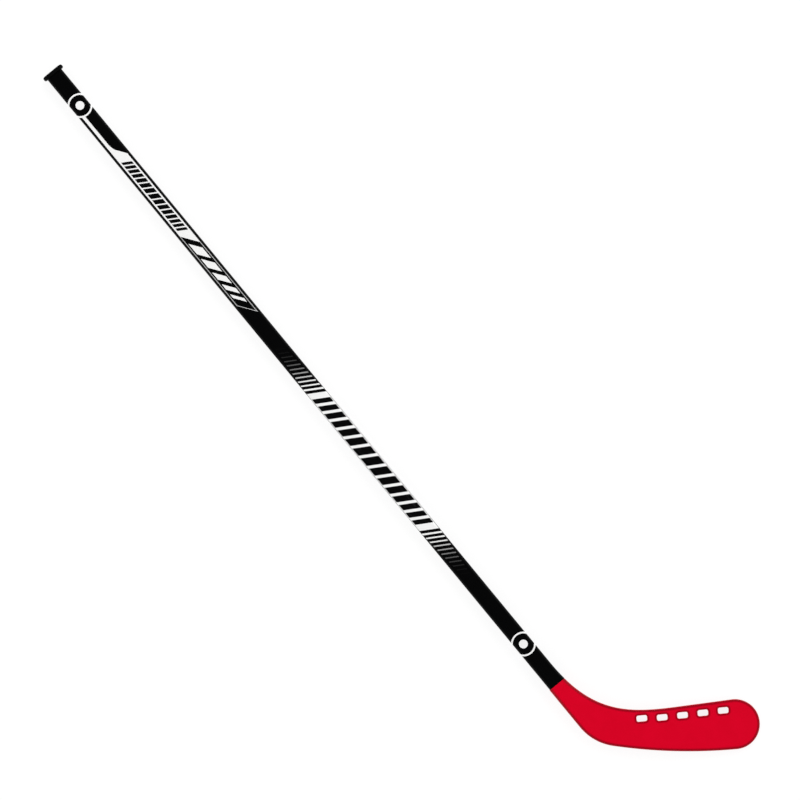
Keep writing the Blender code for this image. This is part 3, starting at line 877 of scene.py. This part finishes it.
def screw_patches(place):
    """A countersunk screw, head down: cross recess, cone, threaded shank and pointed tip, as rings of angles.

    The recess is a cross whose arms are RECESS_WIDTH wide, and its depth falls towards their ends as
    (1 - way out / RECESS_REACH) to the power of RECESS_CURVE. The thread's crest lies where z / pitch less
    the angle's share of a turn is half-way between whole numbers, and its flanks fall evenly.
    """
    angle = np.linspace(0, math.tau, SCREW_ANGLES + 1)
    face = SCREW_SINK - HALF_THICK
    ray = np.linspace(0, SCREW_HEAD_RADIUS, SCREW_HEAD_RINGS)[:, None]
    across = ray * np.abs(unit(angle)).min(axis=1)
    arm = 1 - smooth_step(across - RECESS_WIDTH / 2, -RECESS_SOFTENING, RECESS_SOFTENING)
    depth = RECESS_DEPTH * arm * np.clip(1 - ray / RECESS_REACH, 0, 1) ** RECESS_CURVE
    head = np.dstack((ray * np.cos(angle), ray * np.sin(angle), face + depth))

    neck = face + SCREW_HEAD_RADIUS - SCREW_RADIUS
    end = screw_tip()
    height = np.linspace(neck, end, SCREW_SHANK_RINGS)[:, None]
    phase = (height / SCREW_PITCH - angle / math.tau) % 1
    ridge = np.clip(1 - np.abs(2 * phase - 1) * THREAD_SHARPNESS, 0, 1)
    taper = np.clip((end - height) / SCREW_TIP, 0, 1)
    fade = smooth_step((height - neck) / SCREW_PITCH)
    root = SCREW_RADIUS + (SCREW_ROOT - SCREW_RADIUS) * fade
    radius = (root + (SCREW_RADIUS - root) * ridge) * taper
    shank = np.dstack((radius * np.cos(angle), radius * np.sin(angle), height + 0 * angle))
    rings = np.concatenate((head, shank))
    rings[..., 0] += place
    return [grid(rings)]


# Print: thin films with a closed skin. Each kind reaches from one level over the shaft's face up to another

INK_DEPTH = 0.00002
WHITE_FILM = (-INK_DEPTH, 0.00004)
RING_FILM = (-INK_DEPTH, 0.00005)
BLACK_FILM = (INK_DEPTH, 0.00007)
FILM_STEP = 0.001
FILM_CURVE_STEP = 0.0002
FILM_GAP = 0.00004
PRINT_SLANT = 0.60
BOX_SLANT = 1.41
PANEL_HALF = 0.0097


def girth_table(lift):
    """Places round the shaft's section by girth from the middle of the top face, raised by lift."""
    base, raised = shaft_rings(np.full(2, SHAFT_START), np.array((0.0, -lift)))[:, ::-1, 1:]
    girth = run_along(base)
    top = base[:, 1] > HALF_THICK - WELD
    middle = np.interp(0, base[top, 0], girth[top])
    return girth[:-1] - middle, raised[:-1], girth[-1]


def film(first_x, last_x, low, high, base, lift, tone=1.0, extra=()):
    """A film on the shaft between two ends whose x is a function of y, from girth low to girth high.

    Girth is measured round the section from the middle of the top face towards +y. The film's section has a
    point wherever the shaft's has one, so it lies parallel to it, and more at even steps and at extra. The
    first grid runs round the film, and the two others close it where it starts and ends.
    """
    girth, raised, whole = girth_table(lift)
    under = girth_table(base)[1]
    laps = np.concatenate([girth + k * whole for k in (-1, 0, 1)])
    wanted = np.sort(np.concatenate((laps, np.arange(low, high, FILM_STEP), extra)))
    wanted = wanted[(wanted > low + FILM_GAP) & (wanted < high - FILM_GAP)]
    apart = np.diff(wanted, prepend=low) > FILM_GAP
    places = np.concatenate(([low], wanted[apart], [high]))
    tops, foots = (
        np.column_stack([np.interp(places, laps, np.tile(ring[:, axis], 3)) for axis in range(2)])
        for ring in (raised, under)
    )
    start, end = first_x(tops[:, 0]), last_x(tops[:, 0])
    section = np.stack((
        np.column_stack((start, tops)), np.column_stack((end, tops)),
        np.column_stack((end, foots)), np.column_stack((start, foots)), np.column_stack((start, tops)),
    ), axis=1)
    section = np.dstack((section, np.full(section.shape[:2], tone)))
    return [grid(section), *(grid(section[row][[[0, 1], [3, 2]]]) for row in (0, -1))]


def girth_of(y):
    """The girth at which the top half of the section has this y."""
    flat = HALF_WIDTH - SHAFT_CORNER
    over = np.clip((abs(y) - flat) / SHAFT_CORNER, 0, 1)
    return math.copysign(min(abs(y), flat) + SHAFT_CORNER * math.asin(over), y)


def both_faces(first_x, last_x, low_y, high_y, base, lift, tone=1.0, extra=()):
    """The same film on both wide faces, mirrored through the shaft's middle."""
    low, high = girth_of(low_y), girth_of(high_y)
    extra = np.array(extra)
    half_turn = girth_table(0)[2] / 2
    return [
        *film(first_x, last_x, low, high, base, lift, tone, extra),
        *film(first_x, last_x, half_turn - high, half_turn - low, base, lift, tone, half_turn - extra),
    ]


def all_round(first_x, last_x, base, lift):
    """The same film round the whole section, in two open halves that join along the narrow edges."""
    turn = girth_table(0)[2] / 4
    return [film(first_x, last_x, k * turn, (k + 2) * turn, base, lift)[0] for k in (-1, 1)]


def slanted(x, slant):
    """An end that crosses the shaft's middle line at x and leans by slant along x for each unit of y."""
    return lambda y: x + slant * y


def ring_side(x, side, radius):
    """An end along one side of a ring round the middle line at x: side 1 is the far one, -1 the near one."""
    return lambda y: x + side * np.sqrt(np.clip(radius**2 - np.square(y), 0, None))


# Places of the print along the shaft, from the butt face, and how far it reaches across the wide faces
PRINT_REACH = 0.0133
BAND_HIGH = -0.0047
BLOCK_END = 0.1547
BLOCK_SLANT = 1.44
BLOCK_ROUND_LENGTH = 0.0072
BLOCK_ROUND_HEIGHT = 0.0029
PANEL_END = 0.3425
BOX_LINE_END = 0.4827
BOX_LINE_Y = 0.0100
BOX_LINE_WIDTH = 0.0011
BOX_END_WIDTH = 0.0015
BOX_LINE_TONE = 0.5
BOX_END_TONE = 0.6
CENTRE_START = 0.6542
CENTRE_END = 0.9324
STRIPE_COUNT = 11
STRIPE_PITCH = 0.00817
STRIPE_FIRST = 0.0073
STRIPE_WIDEST = 0.0032
STRIPE_WIDTH = 0.0026
STRIPE_THINNING = 0.35
STRIPE_SHORTENING = 0.0007
STRIPE_TONE = 1.92
STRIPE_FADE = 4.0
STRIPE_FADE_PAST = 0.5
MOTIF_BARS = 15
SMALL_MOTIF = (0.1850, 0.3240)
SMALL_MOTIF_HALF = 0.0074
SMALL_BAR_THINNEST = 0.0052
SMALL_BAR_GAP = 0.0024
BIG_MOTIF = (0.6654, 0.9202)
BIG_MOTIF_HALF = 0.0124
BIG_BAR_THINNEST = 0.0090
BIG_BAR_GAP = 0.0053
BOX_BARS = (0.0210, 0.0180, 0.0145, 0.0110, 0.0075)
BOX_BAR_START = 0.0130
BOX_BAR_GAP = 0.0095
BOX_BAR_HALF = 0.0066
MARK_PLACES = (0.0703, 1.1650)
MARK_RADIUS = 0.0181
MARK_LINE = 0.0027
DOT_RADIUS = 0.0069
DOT_STEPS = 24


def panel_start(y):
    """Where the white starts: at the upper mark's ring in the band, and beside it past the block's diagonal.

    The diagonal leaves the band's edge as a parabola, which gives the block its round corner.
    """
    rise = np.maximum(y - BAND_HIGH, 0)
    corner = BLOCK_ROUND_LENGTH * np.clip(1 - rise / BLOCK_ROUND_HEIGHT, 0, None) ** 2
    band = ring_side(MARK_PLACES[0], 1, MARK_RADIUS)(y)
    return np.where(y < BAND_HIGH, band, BLOCK_END + BLOCK_SLANT * rise - corner)


def swelling_bars(stretch, half, thinnest, gap):
    """Black bars that widen evenly towards the middle of a stretch, which they fill."""
    middle = MOTIF_BARS // 2
    weight = middle - np.abs(np.arange(MOTIF_BARS) - middle)
    spare = stretch[1] - stretch[0] - gap * (MOTIF_BARS - 1) - thinnest * MOTIF_BARS
    films = []
    start = stretch[0]
    for width in thinnest + spare * weight / weight.sum():
        ends = slanted(start, PRINT_SLANT), slanted(start + width, PRINT_SLANT)
        films += both_faces(*ends, -half, half, *BLACK_FILM)
        start += width + gap
    return films


def white_films():
    """Band beside the black block, panel, centre panel and the marks at both ends of the shaft."""
    curve = np.arange(BAND_HIGH, BAND_HIGH + BLOCK_ROUND_HEIGHT, FILM_CURVE_STEP)[1:]
    corner = (BAND_HIGH - FILM_GAP, BAND_HIGH + FILM_GAP, *curve)
    panel = panel_start, slanted(PANEL_END, BOX_SLANT)
    films = both_faces(*panel, -PANEL_HALF, PANEL_HALF, *WHITE_FILM, extra=corner)
    centre_panel = slanted(CENTRE_START, PRINT_SLANT), slanted(CENTRE_END, PRINT_SLANT)
    films += both_faces(*centre_panel, -PRINT_REACH, PRINT_REACH, *WHITE_FILM)
    round_edge = DOT_RADIUS * np.sin(np.linspace(-math.pi / 2, math.pi / 2, DOT_STEPS + 1))
    for place in MARK_PLACES:
        for side in (-1, 1):
            ring = [ring_side(place, side, MARK_RADIUS + way * MARK_LINE / 2) for way in (-side, side)]
            films += all_round(*ring, *RING_FILM)
        dot = [ring_side(place, side, DOT_RADIUS) for side in (-1, 1)]
        films += both_faces(*dot, -DOT_RADIUS, DOT_RADIUS, *WHITE_FILM, extra=round_edge)
    return films


def fading_films():
    """Slanted stripes either side of the centre panel, each thinner, shorter and darker than the last."""
    films = []
    for side, edge in ((-1, CENTRE_START), (1, CENTRE_END)):
        for k in range(STRIPE_COUNT):
            share = k / (STRIPE_COUNT + STRIPE_FADE_PAST)
            middle = edge + side * (STRIPE_FIRST + k * STRIPE_PITCH)
            half = (STRIPE_WIDEST if k == 0 else STRIPE_WIDTH * (1 - STRIPE_THINNING * share)) / 2
            ends = [slanted(middle + way * half, PRINT_SLANT) for way in (-1, 1)]
            tone = min(1, STRIPE_TONE * (1 - share) ** STRIPE_FADE)
            reach = PRINT_REACH - STRIPE_SHORTENING * k
            films += both_faces(*ends, -reach, reach, *WHITE_FILM, tone)
    return films


def black_films():
    """The rows of bars on the two white panels."""
    return [
        *swelling_bars(SMALL_MOTIF, SMALL_MOTIF_HALF, SMALL_BAR_THINNEST, SMALL_BAR_GAP),
        *swelling_bars(BIG_MOTIF, BIG_MOTIF_HALF, BIG_BAR_THINNEST, BIG_BAR_GAP),
    ]


def box_films():
    """The slanted box on the black: pin lines along both edges, a slanted end line and shrinking bars."""
    close, past = (slanted(BOX_LINE_END + way * BOX_END_WIDTH / 2, BOX_SLANT) for way in (-1, 1))
    films = both_faces(close, past, -BOX_LINE_Y, BOX_LINE_Y, *WHITE_FILM, BOX_END_TONE)
    for low in (-BOX_LINE_Y, BOX_LINE_Y - BOX_LINE_WIDTH):
        ends = (slanted(PANEL_END, BOX_SLANT), close)
        films += both_faces(*ends, low, low + BOX_LINE_WIDTH, *WHITE_FILM, BOX_LINE_TONE)
    start = PANEL_END + BOX_BAR_START
    for width in BOX_BARS:
        ends = (slanted(start, BOX_SLANT), slanted(start + width, BOX_SLANT))
        films += both_faces(*ends, -BOX_BAR_HALF, BOX_BAR_HALF, *WHITE_FILM)
        start += width + BOX_BAR_GAP
    return films


# Finishes: colours, each pair from the low to the high end of its blend

BLADE_RED = ((0.680, 0.0004, 0.0160), (0.765, 0.0006, 0.0215))
# The next colour is the painted shade along the blade's edges and round its slots
PAINTED_EDGE_SHADE_RED = (0.310, 0.0005, 0.0085)
RUBBED_RED = (0.75, 0.05, 0.07)
SHAFT_BLACK = ((0.0012, 0.0012, 0.0013), (0.0024, 0.0024, 0.0026))
RUBBED_BLACK = (0.03, 0.03, 0.032)
CAP_BLACK = ((0.0012, 0.0012, 0.0013), (0.0045, 0.0045, 0.0045))
ZINC_GREY = ((0.50, 0.51, 0.53), (0.66, 0.66, 0.67))
WHITE_INK = ((0.0015, 0.0015, 0.0016), (0.95, 0.95, 0.945))
BLACK_INK = ((0.003, 0.003, 0.003), (0.0020, 0.0020, 0.0022))
RUBBED_INK = (0.30, 0.30, 0.31)

# Patterns: factors along x, y and z that draw them out, their scales, and the roughness of the inks
HAIR_STRETCH = (0.12, 6.0, 6.0)
DRAW_STRETCH = (0.4, 260.0, 260.0)
MOTTLE_SHARE = 0.03
PATCH_SCALE = 9.0
DRAW_SCALE = 5.0
WHITE_INK_ROUGHNESS = 0.35
BLACK_INK_ROUGHNESS = 0.28
INK_ROUGHNESS_SPREAD = 0.05


def feed(tree, socket, value):
    """Links another node's output to an input, or sets the input's value."""
    if isinstance(value, bpy.types.NodeSocket):
        tree.links.new(value, socket)
    else:
        socket.default_value = value


def add_node(tree, kind, sockets=None, **settings):
    """Adds a node with its properties, and feeds its inputs with values or with other nodes' outputs."""
    node = tree.nodes.new(kind)
    for name, value in settings.items():
        setattr(node, name, value)
    for name, value in (sockets or {}).items():
        feed(tree, node.inputs[name], value)
    return node


def maths(tree, operation, first, second):
    """The result of one operation on two values."""
    return add_node(tree, "ShaderNodeMath", {0: first, 1: second}, operation=operation).outputs[0]


def noise(tree, place, scale, **sockets):
    """Noise between 0 and 1 at each place, finer for a larger scale."""
    return add_node(tree, "ShaderNodeTexNoise", {"Vector": place, "Scale": scale, **sockets}).outputs["Fac"]


def stretched(tree, place, factors):
    """Places multiplied by a factor along each axis. A pattern is drawn out where the factor is small."""
    return add_node(tree, "ShaderNodeVectorMath", {0: place, 1: factors}, operation="MULTIPLY").outputs[0]


def map_value(tree, value, low, high, from_low=0.0, from_high=1.0):
    """A value carried evenly from one range to another, and held at that range's ends."""
    sockets = {"Value": value, "From Min": from_low, "From Max": from_high, "To Min": low, "To Max": high}
    return add_node(tree, "ShaderNodeMapRange", sockets).outputs[0]


def mix_colour(tree, share, first, second):
    """A colour blended from two by share. Each of them is a colour or another node's output."""
    node = add_node(tree, "ShaderNodeMix", {"Factor": share}, data_type="RGBA")
    for name, colour in (("A", first), ("B", second)):
        socket = next(s for s in node.inputs if s.name == name and s.type == "RGBA")
        feed(tree, socket, (*colour, 1) if isinstance(colour, tuple) else colour)
    return next(s for s in node.outputs if s.type == "RGBA")


def attribute(tree, name):
    """The value that a piece's mesh carries at each point under this name."""
    return add_node(tree, "ShaderNodeAttribute", attribute_name=name).outputs["Fac"]


def new_group(name, inputs, outputs):
    """An empty node group with its named sockets, its inputs' values, and the node that takes its results."""
    group = bpy.data.node_groups.new(name, "ShaderNodeTree")
    group.interface.new_socket(name="Vector", in_out="INPUT", socket_type="NodeSocketVector")
    for socket, value in inputs.items():
        made = group.interface.new_socket(name=socket, in_out="INPUT", socket_type="NodeSocketFloat")
        made.default_value = value
    for socket in outputs:
        group.interface.new_socket(name=socket, in_out="OUTPUT", socket_type="NodeSocketFloat")
    return group, group.nodes.new("NodeGroupInput").outputs, group.nodes.new("NodeGroupOutput").inputs


def make_grain_group():
    """Moulded plastic's skin: Height is a fine pebble, Mottle a slow change of tone."""
    group, given, result = new_group("moulded_skin", {"Scale": 900.0}, ("Height", "Mottle"))
    place, scale = given["Vector"], given["Scale"]
    slow_scale = maths(group, "MULTIPLY", scale, MOTTLE_SHARE)
    feed(group, result["Height"], noise(group, place, scale, Detail=4.0, Roughness=0.55))
    feed(group, result["Mottle"], noise(group, place, slow_scale, Detail=3.0, Roughness=0.6, Distortion=0.6))
    return group


def make_wear_group():
    """Handling marks: hairlines drawn out along x, in patches only."""
    group, given, result = new_group("handling_marks", {"Scale": 60.0, "Amount": 0.5}, ("Mask",))
    drawn_out = stretched(group, given["Vector"], HAIR_STRETCH)
    hairs = noise(group, drawn_out, given["Scale"], Detail=5.0, Roughness=0.7)
    hairlines = map_value(group, hairs, 0.0, 1.0, from_low=0.62, from_high=0.70)
    spread = noise(group, given["Vector"], PATCH_SCALE, Detail=2.0)
    patches = map_value(group, spread, 0.0, 1.0, from_low=0.45, from_high=0.65)
    both = maths(group, "MULTIPLY", hairlines, patches)
    feed(group, result["Mask"], maths(group, "MULTIPLY", both, given["Amount"]))
    return group


def place_group(tree, group, place, **values):
    """A shared effect's outputs in one material, with that material's own values."""
    return add_node(tree, "ShaderNodeGroup", {"Vector": place, **values}, node_tree=group).outputs


def new_finish(name, specular, metallic=0.0):
    """A Principled material with its constants set on the shader, and the object coordinates."""
    material = bpy.data.materials.new(name)
    material.use_nodes = True
    tree = material.node_tree
    shader = tree.nodes["Principled BSDF"]
    shader.inputs["Specular IOR Level"].default_value = specular
    shader.inputs["Metallic"].default_value = metallic
    return material, tree, tree.nodes.new("ShaderNodeTexCoord").outputs["Object"]


def surface(tree, colour, roughness, height, strength, distance):
    """Feeds a finish's shader with its colour and roughness, and with the bump of a height."""
    inputs = tree.nodes["Principled BSDF"].inputs
    bump = add_node(tree, "ShaderNodeBump", {"Strength": strength, "Distance": distance, "Height": height})
    feed(tree, inputs["Base Color"], colour)
    feed(tree, inputs["Roughness"], roughness)
    feed(tree, inputs["Normal"], bump.outputs["Normal"])


def red_blade_plastic(grain, wear):
    """Satin moulded red: a fine pebble, a slow change of tone, hairlines, and painted shade along the blade's
    edges and round its slots.
    """
    material, tree, place = new_finish("red_blade_plastic", specular=0.11)
    skin = place_group(tree, grain, place, Scale=1400.0)
    rubs = place_group(tree, wear, place, Scale=45.0, Amount=0.6)["Mask"]
    face = mix_colour(tree, skin["Mottle"], *BLADE_RED)
    # The rim attribute blends in painted shade along the blade's edges and round its slots
    edge_shaded = mix_colour(tree, attribute(tree, "rim"), face, PAINTED_EDGE_SHADE_RED)
    worn = mix_colour(tree, map_value(tree, rubs, low=0.0, high=0.25), edge_shaded, RUBBED_RED)
    rough = map_value(tree, rubs, low=0.30, high=0.48)
    surface(tree, worn, rough, skin["Height"], strength=0.25, distance=0.00006)
    return material


def extruded_black(grain, wear):
    """Glossy extruded black: draw lines along the shaft, hairlines and a faint change of gloss."""
    material, tree, place = new_finish("black_shaft_plastic", specular=0.07)
    skin = place_group(tree, grain, place, Scale=700.0)
    rubs = place_group(tree, wear, place, Scale=80.0, Amount=0.7)["Mask"]
    lines = noise(tree, stretched(tree, place, DRAW_STRETCH), DRAW_SCALE, Detail=3.0)
    toned = mix_colour(tree, skin["Mottle"], *SHAFT_BLACK)
    worn = mix_colour(tree, map_value(tree, rubs, low=0.0, high=0.3), toned, RUBBED_BLACK)
    rough = map_value(tree, lines, low=0.24, high=0.32)
    surface(tree, worn, rough, lines, strength=0.1, distance=0.00004)
    return material


def shaft_ink(name, dark, pale, roughness, grain, wear):
    """Printed film: its tone runs from dark to pale by the piece's own attribute, with a faint screen."""
    material, tree, place = new_finish(name, specular=0.12)
    skin = place_group(tree, grain, place, Scale=2600.0)
    rubs = place_group(tree, wear, place, Scale=80.0, Amount=0.5)["Mask"]
    flat = mix_colour(tree, attribute(tree, "tone"), dark, pale)
    mottled = mix_colour(tree, map_value(tree, skin["Mottle"], low=0.0, high=0.05), flat, dark)
    worn = mix_colour(tree, map_value(tree, rubs, low=0.0, high=0.25), mottled, RUBBED_INK)
    spread = INK_ROUGHNESS_SPREAD
    rough = map_value(tree, skin["Height"], low=roughness - spread, high=roughness + spread)
    surface(tree, worn, rough, skin["Height"], strength=0.15, distance=0.00003)
    return material


def cap_rubber(grain):
    """Soft black moulding: matt pebbled skin with a trace of dust in the grain."""
    material, tree, place = new_finish("black_cap_rubber", specular=0.05)
    skin = place_group(tree, grain, place, Scale=1800.0)
    dust = map_value(tree, skin["Height"], low=0.0, high=0.5, from_low=0.5, from_high=0.8)
    toned = mix_colour(tree, dust, *CAP_BLACK)
    rough = map_value(tree, skin["Mottle"], low=0.48, high=0.62)
    surface(tree, toned, rough, skin["Height"], strength=0.5, distance=0.00012)
    return material


def zinc_steel(grain):
    """Bright zinc plating with a cloudy gloss."""
    material, tree, place = new_finish("zinc_plated_steel", specular=0.5, metallic=1.0)
    skin = place_group(tree, grain, place, Scale=3000.0)
    toned = mix_colour(tree, skin["Mottle"], *ZINC_GREY)
    rough = map_value(tree, skin["Mottle"], low=0.22, high=0.40)
    surface(tree, toned, rough, skin["Height"], strength=0.2, distance=0.00004)
    return material


# Floor, light and camera

PHOTO_WIDTH = 1.25656
PHOTO_CENTRE = (0.7463, 0.0939)
PHOTO_TURN = math.radians(50.53)
CAMERA_LENS = 300.0
CAMERA_REACH = 4.0
FLOOR_HALF = 30.0
FLOOR_DROP = 0.0001
FLOOR_COLOUR = (0.80, 0.80, 0.80, 1)
FLOOR_WHITE = 1.12
FLOOR_SHADOW_SHARE = 0.22
SKY_LEVEL = 1.42
GROUND_LEVEL = 0.9
HORIZON = 0.02
ZENITH_LEVEL = 0.03
ZENITH_START, ZENITH_FULL = 0.62, 0.90
LAMP_PLACE = (-1.2, 1.6, 1.6)
LAMP_SIZE = 1.6
LAMP_POWER = 15.0


def ray_kinds(tree):
    """Whether a ray comes from the camera, and whether it is one that gloss or glass sends on."""
    path = tree.nodes.new("ShaderNodeLightPath").outputs
    return path["Is Camera Ray"], maths(tree, "MAXIMUM", path["Is Glossy Ray"], path["Is Transmission Ray"])


def make_floor():
    """A pale floor at the stick's lowest point. The camera sees it as white, with part of its shading."""
    corners = [(x * FLOOR_HALF, y * FLOOR_HALF, -FLOOR_DROP) for x, y in ((-1, -1), (1, -1), (1, 1), (-1, 1))]
    mesh = bpy.data.meshes.new("floor")
    mesh.from_pydata(corners, [], [(0, 1, 2, 3)])
    floor = add_object("floor", mesh)
    material = bpy.data.materials.new("pale_floor")
    material.use_nodes = True
    tree = material.node_tree
    tree.nodes.clear()
    matt = add_node(tree, "ShaderNodeBsdfDiffuse", {"Color": FLOOR_COLOUR}).outputs[0]
    white = add_node(tree, "ShaderNodeEmission", {"Strength": FLOOR_WHITE}).outputs[0]
    seen = add_node(tree, "ShaderNodeMixShader", {0: FLOOR_SHADOW_SHARE, 1: white, 2: matt}).outputs[0]
    looked = maths(tree, "MAXIMUM", *ray_kinds(tree))
    final = add_node(tree, "ShaderNodeMixShader", {0: looked, 1: matt, 2: seen}).outputs[0]
    add_node(tree, "ShaderNodeOutputMaterial", {"Surface": final})
    mesh.materials.append(material)


def make_sky():
    """Even white studio light from all round, with a dark ceiling that the flat faces mirror.

    The camera sees it as plain white, and so do mirrored rays below the ceiling.
    """
    world = bpy.data.worlds.new("studio")
    bpy.context.scene.world = world
    world.use_nodes = True
    tree = world.node_tree
    camera_ray, mirrored = ray_kinds(tree)
    place = tree.nodes.new("ShaderNodeTexCoord").outputs["Generated"]
    up = add_node(tree, "ShaderNodeSeparateXYZ", {0: place}).outputs["Z"]
    even = map_value(tree, up, GROUND_LEVEL, SKY_LEVEL, -HORIZON, HORIZON)
    level = map_value(tree, mirrored, even, 1.0)
    ceiling = map_value(tree, up, 1.0, ZENITH_LEVEL, ZENITH_START, ZENITH_FULL)
    sky = maths(tree, "MULTIPLY", level, ceiling)
    background = tree.nodes["Background"].inputs
    background["Color"].default_value = (1, 1, 1, 1)
    feed(tree, background["Strength"], map_value(tree, camera_ray, sky, 1.0))


def make_lamp():
    """A soft disc lamp turned to the origin, which mirrored rays don't see."""
    data = bpy.data.lights.new("key_lamp", "AREA")
    data.energy = LAMP_POWER
    data.shape = "DISK"
    data.size = LAMP_SIZE
    lamp = add_object("key_lamp", data)
    lamp.location = LAMP_PLACE
    lamp.rotation_euler = lamp.location.to_track_quat("Z", "Y").to_euler()
    lamp.visible_glossy = False


def make_camera():
    """Looks straight down from far off, turned as the photograph is, over PHOTO_WIDTH of floor."""
    data = bpy.data.cameras.new("camera")
    data.lens = CAMERA_LENS
    distance = PHOTO_WIDTH * CAMERA_LENS / data.sensor_width
    data.clip_end = CAMERA_REACH * distance
    camera = add_object("camera", data)
    camera.location = ORIGIN + (*PHOTO_CENTRE, distance)
    camera.rotation_euler = (0, 0, PHOTO_TURN)
    bpy.context.scene.camera = camera


def main():
    """Dresses the five solids, prints the shaft, and sets the floor, light and camera round the stick."""
    bpy.context.scene.view_settings.view_transform = "Standard"
    grain, wear = make_grain_group(), make_wear_group()
    black, red = extruded_black(grain, wear), red_blade_plastic(grain, wear)
    rubber, steel = cap_rubber(grain), zinc_steel(grain)
    white_ink = shaft_ink("white_ink", *WHITE_INK, WHITE_INK_ROUGHNESS, grain, wear)
    black_ink = shaft_ink("black_ink", *BLACK_INK, BLACK_INK_ROUGHNESS, grain, wear)

    make_piece("shaft_tube", shaft_patches(), black, "shaft")
    make_piece("cap_moulding", cap_patches(), rubber, "butt_cap")
    # The blade carries its painted edge shade in the rim attribute
    make_piece("blade_moulding", blade_patches(), red, "blade", "rim")
    for k, place in enumerate(screw_places()):
        make_piece(f"screw_{k + 1}", screw_patches(place), steel, f"blade_screw_{k + 1}")
    make_piece("print_white", white_films(), white_ink, shade="tone")
    make_piece("print_stripes", fading_films(), white_ink, shade="tone")
    make_piece("print_box", box_films(), white_ink, shade="tone")
    make_piece("print_black", black_films(), black_ink, shade="tone")

    make_floor()
    make_sky()
    make_lamp()
    make_camera()


main()
